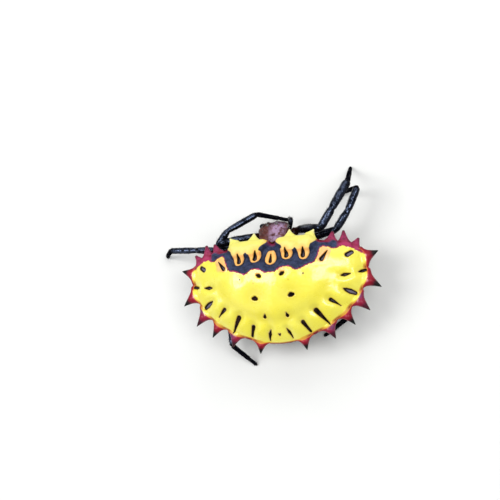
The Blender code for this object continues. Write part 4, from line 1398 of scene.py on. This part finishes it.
def shape_head(form):
    """Roughens the carapace, raises the eye mounds, sinks the fovea and the grooves, and stores the marks."""
    places, normals = places_of(form)
    across, along, _ = head_local(places).T
    top = smooth_step(0.1, 0.5, normals[:, 2])
    fovea = np.hypot(across - FOVEA[0], (along - FOVEA[1]) * FOVEA_STRETCH)
    rise = lumps(places, HEAD_LUMPS) - FOVEA_DEPTH * bell(fovea, FOVEA_WIDTH) * top
    turns = np.arctan2(across - FOVEA[0], along - FOVEA[1])
    spokes = np.cos(turns * SPOKES) * smooth_step(0.2, 0.5, fovea) * smooth_step(1.5, 0.9, fovea)
    rise -= SPOKE_DEPTH * smooth_step(0.3, 1.0, spokes) * top
    neck = np.abs(np.abs(across) - mix(*NECK_GROOVE, smooth_step(FOVEA[1], NECK_GROOVE_END, along)))
    past_fovea = smooth_step(FOVEA[1] - 0.2, FOVEA[1] + 0.3, along)
    rise -= NECK_DEPTH * bell(neck, NECK_WIDTH) * top * past_fovea
    for _, middle, size in eye_seats():
        rise += EYE_MOUND * bell(gap_to(places, middle), size * EYE_MOUND_REACH)
    push(form, normals * rise[:, None])
    # Lilac-grey on the top towards the middle and right: partly pale down, partly a painted sheen.
    down_and_sheen = bell(across - DOWN_AND_SHEEN_MIDDLE - DOWN_AND_SHEEN_SLANT * along, DOWN_AND_SHEEN_WIDTH)
    # Near black below 2.35 mm; painted shade in the fovea and along the head's sides and front.
    outline = smooth_step(1.0, 1.25, np.abs(across)) + smooth_step(1.2, 1.5, along)
    dark = 0.75 * smooth_step(2.35, 1.9, places[:, 2]) + 0.5 * bell(fovea, 0.12) * top + 0.7 * outline
    store(form, {"down_and_sheen": down_and_sheen * top * smooth_step(-1.0, 0.0, along), "dark": np.clip(dark, 0.0, 0.9)})


# Legs


def leg_joints(side_name, side, number):
    """The joints of one leg from inside the body to the foot."""
    places = LEGS[side_name, number][0]
    along_body, heading, _, _ = COXAE[number]
    way = Vector((math.cos(math.radians(heading)) * side, math.sin(math.radians(heading)), 0.0))
    inner = head_place(Vector((0.0, along_body, COXA_HEIGHT_IN)) + way * (COXA_REACH_IN - COXA_SUNK))
    hip = head_place(Vector((0.0, along_body, COXA_HEIGHT_OUT)) + way * COXA_REACH_OUT)
    foot = Vector((*places[4], FOOT_TIP_HEIGHT))
    return [inner, hip, *(Vector(place) for place in places[:4]), foot]


def add_length(form, part, start, end, radius, sides, cuts, arch=0.0):
    """Adds one length of a limb, which swells along its way as such a part does."""
    way = straight(start, end, arch)
    add_tube(form, way, lambda share: radius * width_at(SWELLS[part], share), sides, cuts)


def add_leg(form, side_name, side, number):
    """Adds every length of one leg and the soft skin of its joints; gives the ends of its lengths."""
    femur, tibia, foot = LEGS[side_name, number][1]
    _, _, coxa, arch = COXAE[number]
    joints = leg_joints(side_name, side, number)
    radii = (coxa, femur, (femur + tibia) / 2 * PATELLA_SHARE, tibia, foot, foot * TARSUS_SHARE)
    for part, start, end, radius in zip(LEG_PARTS, joints, joints[1:], radii):
        add_length(form, part, start, end, radius, 24, 24, arch if part == "femur" else 0.0)
    for joint, before, after in zip(joints[1:-1], radii, radii[1:]):
        add_ball(form, joint, min(before, after) * JOINT_SHARE)
    return list(zip(joints, joints[1:]))


def shape_leg(form, lengths, settings, seed):
    """Roughens a leg, presses its foot flat on the floor and stores its marks."""
    places, normals = places_of(form)
    warts = lumps(places, ((0.11, 0.7, seed), (0.4, 2.4, seed + 1))) * settings.warts / MM
    joint = np.max([bell(gap_to(places, start), JOINT_REACH) for start, _ in lengths[1:]], axis=0)
    offsets = normals * (warts * (1.0 - joint))[:, None]
    offsets[:, 2] += np.maximum(0.0, FOOT_FLAT - (places[:, 2] + offsets[:, 2]))
    push(form, offsets)
    hip, knee = (np.array(end) for end in lengths[1])
    past_hip = (places - hip) @ (knee - hip) / ((knee - hip) @ (knee - hip))
    to_femur, to_patella = (gap_to_line(places, *length)[0] for length in lengths[1:3])
    to_foot = np.min([gap_to_line(places, *length)[0] for length in lengths[-2:]], axis=0)
    thigh = smooth_step(0.55, 0.4, to_femur) * smooth_step(0.15, 0.4, to_patella)
    marks = {
        "joint": joint,
        "low": np.maximum(smooth_step(0.34, 0.22, to_foot), THIGH_DULLNESS * thigh),
        "facing_up": smooth_step(0.5, 0.88, upwardness(form)),
        "warm": smooth_step(0.4, 0.05, past_hip) * smooth_step(1.0, 0.7, to_femur),
    }
    store(form, marks)


def add_claws(form, tarsus):
    """Adds the pair of hooked claws and the small middle one at the end of a leg."""
    start, end = tarsus
    ahead = Vector((end.x - start.x, end.y - start.y, 0.0)).normalized()
    across = ahead.cross(Vector((0, 0, 1)))
    for sideways, reach, thick in CLAWS:
        root = end - ahead * CLAW_SUNK + across * sideways
        knuckle = root + ahead * reach * 0.8 + Vector((0, 0, CLAW_ARCH))
        point = root + ahead * reach - Vector((0, 0, CLAW_DROP))
        add_hook(form, (root, knuckle, point), thick, 0.7, 0.004, 10, 8)


def add_hook(form, corners, radius, power, tip, sides, cuts):
    """Adds a pointed tube that bends from its root past its knuckle to its tip."""
    root, knuckle, point = corners
    add_tube(
        form,
        lambda share: root.lerp(knuckle, share).lerp(knuckle.lerp(point, share), share),
        lambda share: radius * (1.0 - share) ** power + tip,
        sides,
        cuts,
    )


# Bristles


def add_bristles(form, skin, count, length, radius, lean_at, seed, keep):
    """Adds thin curved bristles rooted in a skin, leaning the way that lean_at gives for each place."""
    draw = random.Random(seed)
    skin.faces.ensure_lookup_table()
    middle = Vector(places_of(skin)[0].mean(axis=0))
    made = 0
    while made < count:
        face = skin.faces[draw.randrange(len(skin.faces))]
        root = face.calc_center_median()
        if not keep(root, face.normal):
            continue
        full = length * draw.uniform(*BRISTLE_LENGTHS)
        strays = [draw.uniform(-0.3, 0.3), draw.uniform(-0.3, 0.3), draw.uniform(-0.15, 0.3)]
        lean = lean_at(root) + Vector(strays)
        way = (face.normal * draw.uniform(*BRISTLE_STANDING) + lean * 0.9).normalized()
        start = root - face.normal * BRISTLE_SUNK
        bend = start + way * full * BRISTLE_BEFORE_BEND
        tip = bend + (way + lean * 0.35).normalized() * full * BRISTLE_PAST_BEND
        if tip.z < BRISTLE_FLOOR_GAP:
            continue
        made += 1
        turn = way.to_track_quat("Z", "Y").to_matrix()
        out = (root - middle).normalized()
        u = 0.5 + math.atan2(out.y, out.x) / math.tau
        v = 0.5 + math.asin(max(-1.0, min(1.0, out.z))) / math.pi
        bristle = cut_cone(4, 1, 0.15)
        unwrap = bristle.loops.layers.uv.new("OFBake")
        for vert in bristle.verts:
            step = round((vert.co.z + 0.5) * 2)
            vert.co = (start, bend, tip)[step] + turn @ Vector((vert.co.x, vert.co.y, 0.0)) * radius
        for facet in bristle.faces:
            for index, loop in enumerate(facet.loops):
                loop[unwrap].uv = (u + BRISTLE_UV * (index % 2), v + BRISTLE_UV * (index // 2))
        join(form, bristle)


def lean_down_leg(lengths):
    """The lean of a leg's bristles: towards the foot, along the length that each stands on."""

    def off_length(place, length):
        start, end = length
        return (place - start.lerp(end, 0.5)).length - (end - start).length / 2

    def lean_at(place):
        start, end = min(lengths, key=lambda length: off_length(place, length))
        return (end - start).normalized()

    return lean_at


def clear_of_body(lengths):
    """Where a leg's bristles may grow: past the first part of its femur, and over the floor."""
    inner = lengths[0][0]
    thigh = lengths[1][0].lerp(lengths[1][1], 0.25)
    reach = (thigh - inner).length * 0.8
    return lambda root, normal: (root - inner).length > reach and root.z > BRISTLE_LOWEST


def facing_up(root, normal):
    """Where the carapace grows its hairs."""
    return normal.z > 0.6


def under_height(height):
    """Where a piece grows hairs only below a height."""
    return lambda root, normal: root.z < height


# Operators


class SpiderOperator:
    """What every operator of this file shares."""

    bl_options = {"REGISTER", "UNDO"}


class SPIDER_OT_abdomen(SpiderOperator, bpy.types.Operator):
    """Builds the shell of the abdomen with its twenty-two spines"""

    bl_idname = "spider.abdomen"
    bl_label = "Abdomen"

    def execute(self, context):
        settings = context.scene.spider_shell
        form = bmesh.new()
        bmesh.ops.create_uvsphere(form, u_segments=240, v_segments=96, radius=1.0)
        for vert in form.verts:
            lift = math.asin(min(max(vert.co.z, -1.0), 1.0))
            vert.co = abdomen_point(math.atan2(vert.co.y, vert.co.x), lift)
        for _, side in SIDES:
            for spine in SPINES:
                add_spine(form, spine, side)
        skin = skin_over("abdomen", form, settings.grain, 3)
        shape_shell(skin, settings)
        material = ShellFinish(settings).material
        finish_piece("abdomen_shell", skin, material, ["abdomen"])
        return {"FINISHED"}


class SPIDER_OT_head(SpiderOperator, bpy.types.Operator):
    """Builds the carapace with sternum and mouth lobes, and the waist"""

    bl_idname = "spider.head"
    bl_label = "Head"

    def execute(self, context):
        settings = context.scene.spider_head
        form = bmesh.new()
        bmesh.ops.create_uvsphere(form, u_segments=96, v_segments=64, radius=1.0)
        for vert in form.verts:
            lift = math.asin(min(max(vert.co.z, -1.0), 1.0))
            share = math.copysign(abs(math.sin(lift)) ** HEAD_BOX_POWER, lift)
            vert.co = head_place(head_point(math.atan2(vert.co.y, -vert.co.x), share))
        for _, side in SIDES:
            root, tip = (head_side(place, side) for place in MAXILLA)
            add_length(form, "tarsus", root, tip, MAXILLA_RADIUS, 20, 10)
        root, tip = (head_place(place) for place in LIP)
        add_tube(form, straight(root, tip), lambda share: LIP_RADIUS * (1.1 - 0.4 * share), 20, 8)
        waist = straight(head_place(WAIST_AT_HEAD), WAIST_AT_ABDOMEN)
        add_tube(form, waist, lambda share: mix(*WAIST_RADII, math.sin(math.pi * share)), 20, 10)
        skin = skin_over("head", form, settings.grain, 3)
        shape_head(skin)
        finish_piece("carapace", skin, head_finish(settings), ["cephalothorax", "pedicel"])
        return {"FINISHED"}


class SPIDER_OT_eyes(SpiderOperator, bpy.types.Operator):
    """Sets the eight eyes in their mounds"""

    bl_idname = "spider.eyes"
    bl_label = "Eyes"

    def execute(self, context):
        material = eye_finish()
        shift = spider_shift()
        carapace = bpy.data.objects["carapace"].data
        corners = [vert.co for vert in carapace.vertices]
        tree = BVHTree.FromPolygons(corners, [tuple(face.vertices) for face in carapace.polygons])
        for name, middle, size in eye_seats():
            seat, normal, _, _ = tree.find_nearest(middle * MM + shift)
            radius = size * EYE_FULLNESS
            form = bmesh.new()
            bmesh.ops.create_uvsphere(form, u_segments=32, v_segments=20, radius=radius)
            for vert in form.verts:
                skirt = EYE_SKIRT if vert.co.z < 0 else 1.0
                vert.co = Vector((vert.co.x * skirt, vert.co.y * skirt, vert.co.z * EYE_FLATNESS))
            turn = normal.to_track_quat("Z", "Y").to_matrix().to_4x4()
            place = (seat - shift) / MM - normal * radius * EYE_SUNK
            bmesh.ops.transform(form, verts=form.verts, matrix=Matrix.Translation(place) @ turn)
            finish_piece(name + "_lens", form, material, [name])
        return {"FINISHED"}


class SPIDER_OT_mouth(SpiderOperator, bpy.types.Operator):
    """Builds the two chelicerae with their fangs, and the palps"""

    bl_idname = "spider.mouth"
    bl_label = "Mouthparts"

    def execute(self, context):
        head = context.scene.spider_head
        limb = context.scene.spider_limb
        head_material = head_finish(head)
        leg_material = leg_finish(limb)
        for side_name, side in SIDES:
            self.add_chelicera(side_name, side, head, head_material)
            self.add_palp(side_name, side, limb, leg_material)
        return {"FINISHED"}

    @staticmethod
    def add_chelicera(side_name, side, head, material):
        """Adds one chelicera and its fang."""
        root, tip = (head_side(place, side) for place in CHELICERA)
        form = bmesh.new()
        add_length(form, "chelicera", root, tip, CHELICERA_RADIUS, 24, 16)
        skin = skin_over("chelicera", form, head.grain, 3)
        places, normals = places_of(skin)
        push(skin, normals * lumps(places, ((0.14, 0.014, 21 + side),))[:, None])
        store(skin, {"down_and_sheen": np.zeros(len(places)), "dark": 0.6 * smooth_step(1.7, 1.0, places[:, 2])})
        finish_piece(f"chelicera_{side_name}_base", skin, material, [f"chelicera_{side_name}"])
        fang = bmesh.new()
        add_hook(fang, (tip, tip + FANG_BEND, head_side(FANG_TIP, side)), 0.1, 0.8, 0.012, 16, 12)
        finish_piece(f"fang_{side_name}", fang, material, [])

    @staticmethod
    def add_palp(side_name, side, limb, material):
        """Adds one palp, made and marked as a small leg."""
        hip, knee, end = (head_place(point) for point in PALPS[side_name])
        ankle = knee.lerp(end, PALP_ANKLE)
        lengths = ((hip, knee), (knee, ankle), (ankle, end))
        form = bmesh.new()
        for (part, fullness), (start, stop) in zip(PALP_PARTS, lengths):
            add_length(form, part, start, stop, PALP_RADIUS * fullness, 20, 14)
        for joint in (knee, ankle):
            add_ball(form, joint, PALP_RADIUS * JOINT_SHARE)
        skin = skin_over("palp", form, limb.grain, 2)
        shape_leg(skin, lengths, limb, 31 + side)
        count = len(skin.verts)
        store(skin, {"warm": np.zeros(count), "low": np.full(count, DULL_UNDERSIDE)})
        replaced = [f"palp_{side_name}_inner", f"palp_{side_name}_outer"]
        finish_piece(f"palp_{side_name}", skin, material, replaced)


class SPIDER_OT_spinnerets(SpiderOperator, bpy.types.Operator):
    """Builds the spinnerets under the belly"""

    bl_idname = "spider.spinnerets"
    bl_label = "Spinnerets"

    def execute(self, context):
        limb = context.scene.spider_limb
        form = bmesh.new()
        top, foot = (Vector((0, SPINNERET_Y, height)) for height in MOUND_HEIGHTS)
        add_tube(form, straight(top, foot), lambda share: mix(*MOUND_RADII, share**2), 28, 10)
        for forward in TUBE_ROWS:
            for _, side in SIDES:
                root = Vector((side * TUBE_ROOT_X, SPINNERET_Y + forward, TUBE_ROOT_HEIGHT))
                tip = Vector((side * TUBE_TIP_X, SPINNERET_Y + forward * 0.9, SPINNERET_TIP))
                way = straight(root, tip)
                add_tube(form, way, lambda share: TUBE_RADIUS * (1.0 - 0.55 * share**2), 18, 10)
        root, tip = (Vector((0, SPINNERET_Y + forward, height)) for forward, height in HIND_KNOB)
        add_tube(form, straight(root, tip), lambda share: HIND_KNOB_RADIUS * (1.1 - 0.7 * share), 16, 6)
        skin = skin_over("spinnerets", form, limb.grain, 2)
        places, normals = places_of(skin)
        push(skin, normals * lumps(places, ((0.1, 0.012, 41),))[:, None])
        marks = {
            "joint": np.zeros(len(places)),
            "low": np.full(len(places), DULL_UNDERSIDE),
            "facing_up": np.ones(len(places)),
            "warm": 0.6 * smooth_step(1.0, 1.3, places[:, 2]),
        }
        store(skin, marks)
        finish_piece("spinneret_cone", skin, leg_finish(limb), ["spinnerets"])
        return {"FINISHED"}


class SPIDER_OT_legs(SpiderOperator, bpy.types.Operator):
    """Builds the skin, claws and bristles of the eight legs"""

    bl_idname = "spider.legs"
    bl_label = "Legs"

    def execute(self, context):
        limb = context.scene.spider_limb
        material = leg_finish(limb)
        stiff = bristle_finish("spider_bristle", "bristle black", "bristle brown")
        bristles = bmesh.new()
        claws = bmesh.new()
        for side_name, side in SIDES:
            for number in COXAE:
                form = bmesh.new()
                lengths = add_leg(form, side_name, side, number)
                skin = skin_over("leg", form, limb.grain, 2)
                shape_leg(skin, lengths, limb, 50 + number * 4 + side)
                add_bristles(
                    bristles, skin, limb.bristles, LEG_BRISTLE_LENGTH, LEG_BRISTLE_RADIUS,
                    lean_down_leg(lengths), 60 + number * 2 + side, clear_of_body(lengths),
                )
                add_claws(claws, lengths[-1])
                name = f"leg{number}_{side_name}"
                replaced = [f"{name}_{part}" for part in ("coxa", "femur", "tibia", "foot")]
                finish_piece(name, skin, material, replaced)
        finish_piece("leg_bristles", bristles, stiff, [])
        finish_piece("claws", claws, stiff, [])
        return {"FINISHED"}


class SPIDER_OT_hairs(SpiderOperator, bpy.types.Operator):
    """Adds the fine hairs of the carapace, the mouthparts and the spinnerets"""

    bl_idname = "spider.hairs"
    bl_label = "Fine hairs"

    def execute(self, context):
        pale = bristle_finish("spider_down", "down brown", "down grey")
        dark = bristle_finish("spider_mouth_bristle", "mouth bristle black", "mouth bristle brown")
        mouth = ("chelicera_left_base", "chelicera_right_base", "palp_left", "palp_right")
        cone = ("spinneret_cone",)
        down = context.scene.spider_head.hairs
        low = under_height(1.05)
        self.add_hairs("carapace_down", ("carapace",), down, 0.08, 0.005, pale, facing_up, HEAD_LEAN, 80)
        self.add_hairs("mouth_bristles", mouth, 90, 0.17, 0.008, dark, under_height(2.1), DOWN_LEAN, 85)
        self.add_hairs("spinneret_bristles", cone, 120, 0.12, 0.007, dark, low, DOWN_LEAN, 90)
        return {"FINISHED"}

    @staticmethod
    def add_hairs(name, sources, count, length, radius, material, keep, lean, seed):
        """Adds one piece of hairs that grow on finished pieces."""
        to_millimetres = Matrix.Scale(1 / MM, 4) @ Matrix.Translation(-spider_shift())
        form = bmesh.new()
        for step, source in enumerate(sources):
            skin = bmesh.new()
            skin.from_mesh(bpy.data.objects[source].data)
            bmesh.ops.transform(skin, verts=skin.verts, matrix=to_millimetres)
            skin.normal_update()
            add_bristles(form, skin, count, length, radius, lambda place: lean, seed + step, keep)
            skin.free()
        finish_piece(name, form, material, [])


class SPIDER_OT_stage(SpiderOperator, bpy.types.Operator):
    """Lays the floor, hangs the lights and sets the camera where the photo's stood"""

    bl_idname = "spider.stage"
    bl_label = "Stage"

    def execute(self, context):
        settings = context.scene.spider_stage
        form = bmesh.new()
        bmesh.ops.create_grid(form, x_segments=8, y_segments=8, size=settings.floor_size / 2)
        mesh = bpy.data.meshes.new("floor")
        form.to_mesh(mesh)
        form.free()
        mesh.materials.append(floor_finish(settings))
        floor = bpy.data.objects.new("floor", mesh)
        context.scene.collection.objects.link(floor)
        world = bpy.data.worlds.new("studio")
        world.use_nodes = True
        world.node_tree.nodes["Background"].inputs["Color"].default_value = WORLD_COLOUR
        world.node_tree.nodes["Background"].inputs["Strength"].default_value = WORLD_STRENGTH
        context.scene.world = world
        context.scene.view_settings.view_transform = "Standard"
        for name, place, size, share in LIGHTS:
            self.add_light(name, Vector(place), size, settings.light_power * share)
        self.add_camera(context)
        return {"FINISHED"}

    @staticmethod
    def add_light(name, place, size, power):
        """A soft light of a given width and height that looks at the spider, its width level."""
        light = bpy.data.lights.new(name, "AREA")
        light.shape = "RECTANGLE"
        light.size, light.size_y = size
        light.energy = power
        lamp = bpy.data.objects.new(name, light)
        lamp.location = place
        back = place.normalized()
        right = (Vector((1, 0, 0)) - back.x * back).normalized()
        turn = Matrix((right, back.cross(right), back)).transposed()
        lamp.rotation_euler = turn.to_euler()
        bpy.context.scene.collection.objects.link(lamp)

    @staticmethod
    def add_camera(context):
        """The photo's camera, from the pixel that the middle of the abdomen's edge falls on."""
        back = Vector((math.tan(CAMERA_TILT_RIGHT), -math.tan(CAMERA_TILT_BACK), 1.0)).normalized()
        level_right = (Vector((1, 0, 0)) - back.x * back).normalized()
        level_up = back.cross(level_right)
        right = level_right * math.cos(CAMERA_ROLL) - level_up * math.sin(CAMERA_ROLL)
        up = level_right * math.sin(CAMERA_ROLL) + level_up * math.cos(CAMERA_ROLL)
        focal = CAMERA_LENS / CAMERA_SENSOR * PHOTO_SIZE
        distance = PHOTO_MM_PER_PIXEL * focal
        across = (ABDOMEN_PIXEL[0] - PHOTO_SIZE / 2) / focal * distance
        above = -(ABDOMEN_PIXEL[1] - PHOTO_SIZE / 2) / focal * distance
        place = Vector((0, 0, RIM_HEIGHT)) - right * across - up * above + back * distance
        lens = bpy.data.cameras.new("photo_camera")
        lens.lens = CAMERA_LENS
        lens.sensor_width = CAMERA_SENSOR
        lens.clip_start = CAMERA_NEAREST
        camera = bpy.data.objects.new("photo_camera", lens)
        turn = Matrix((right, up, back)).transposed().to_4x4()
        camera.matrix_world = Matrix.Translation(place * MM + spider_shift()) @ turn
        context.scene.collection.objects.link(camera)
        context.scene.camera = camera


class SPIDER_PT_panel(bpy.types.Panel):
    """Lists the pieces of the spider"""

    bl_label = "Spiny Orb Weaver"
    bl_idname = "SPIDER_PT_panel"
    bl_space_type = "VIEW_3D"
    bl_region_type = "UI"
    bl_category = "Spider"

    def draw(self, context):
        for operator in OPERATORS:
            self.layout.operator(operator.bl_idname)


OPERATORS = (
    SPIDER_OT_abdomen,
    SPIDER_OT_head,
    SPIDER_OT_eyes,
    SPIDER_OT_mouth,
    SPIDER_OT_spinnerets,
    SPIDER_OT_legs,
    SPIDER_OT_hairs,
    SPIDER_OT_stage,
)
SETTINGS = {
    "spider_shell": ShellSettings,
    "spider_limb": LimbSettings,
    "spider_head": HeadSettings,
    "spider_stage": StageSettings,
}


def register():
    """Registers the settings, the operators and the panel."""
    for name, group in SETTINGS.items():
        bpy.utils.register_class(group)
        setattr(bpy.types.Scene, name, PointerProperty(type=group))
    for kind in (*OPERATORS, SPIDER_PT_panel):
        bpy.utils.register_class(kind)


def unregister():
    """Takes back what register did, in the other order."""
    for kind in (SPIDER_PT_panel, *reversed(OPERATORS)):
        bpy.utils.unregister_class(kind)
    for name, group in SETTINGS.items():
        delattr(bpy.types.Scene, name)
        bpy.utils.unregister_class(group)


def main():
    """Builds every piece in order."""
    register()
    bpy.ops.spider.abdomen()
    bpy.ops.spider.head()
    bpy.ops.spider.eyes()
    bpy.ops.spider.mouth()
    bpy.ops.spider.spinnerets()
    bpy.ops.spider.legs()
    bpy.ops.spider.hairs()
    bpy.ops.spider.stage()


if __name__ == "__main__":
    main()
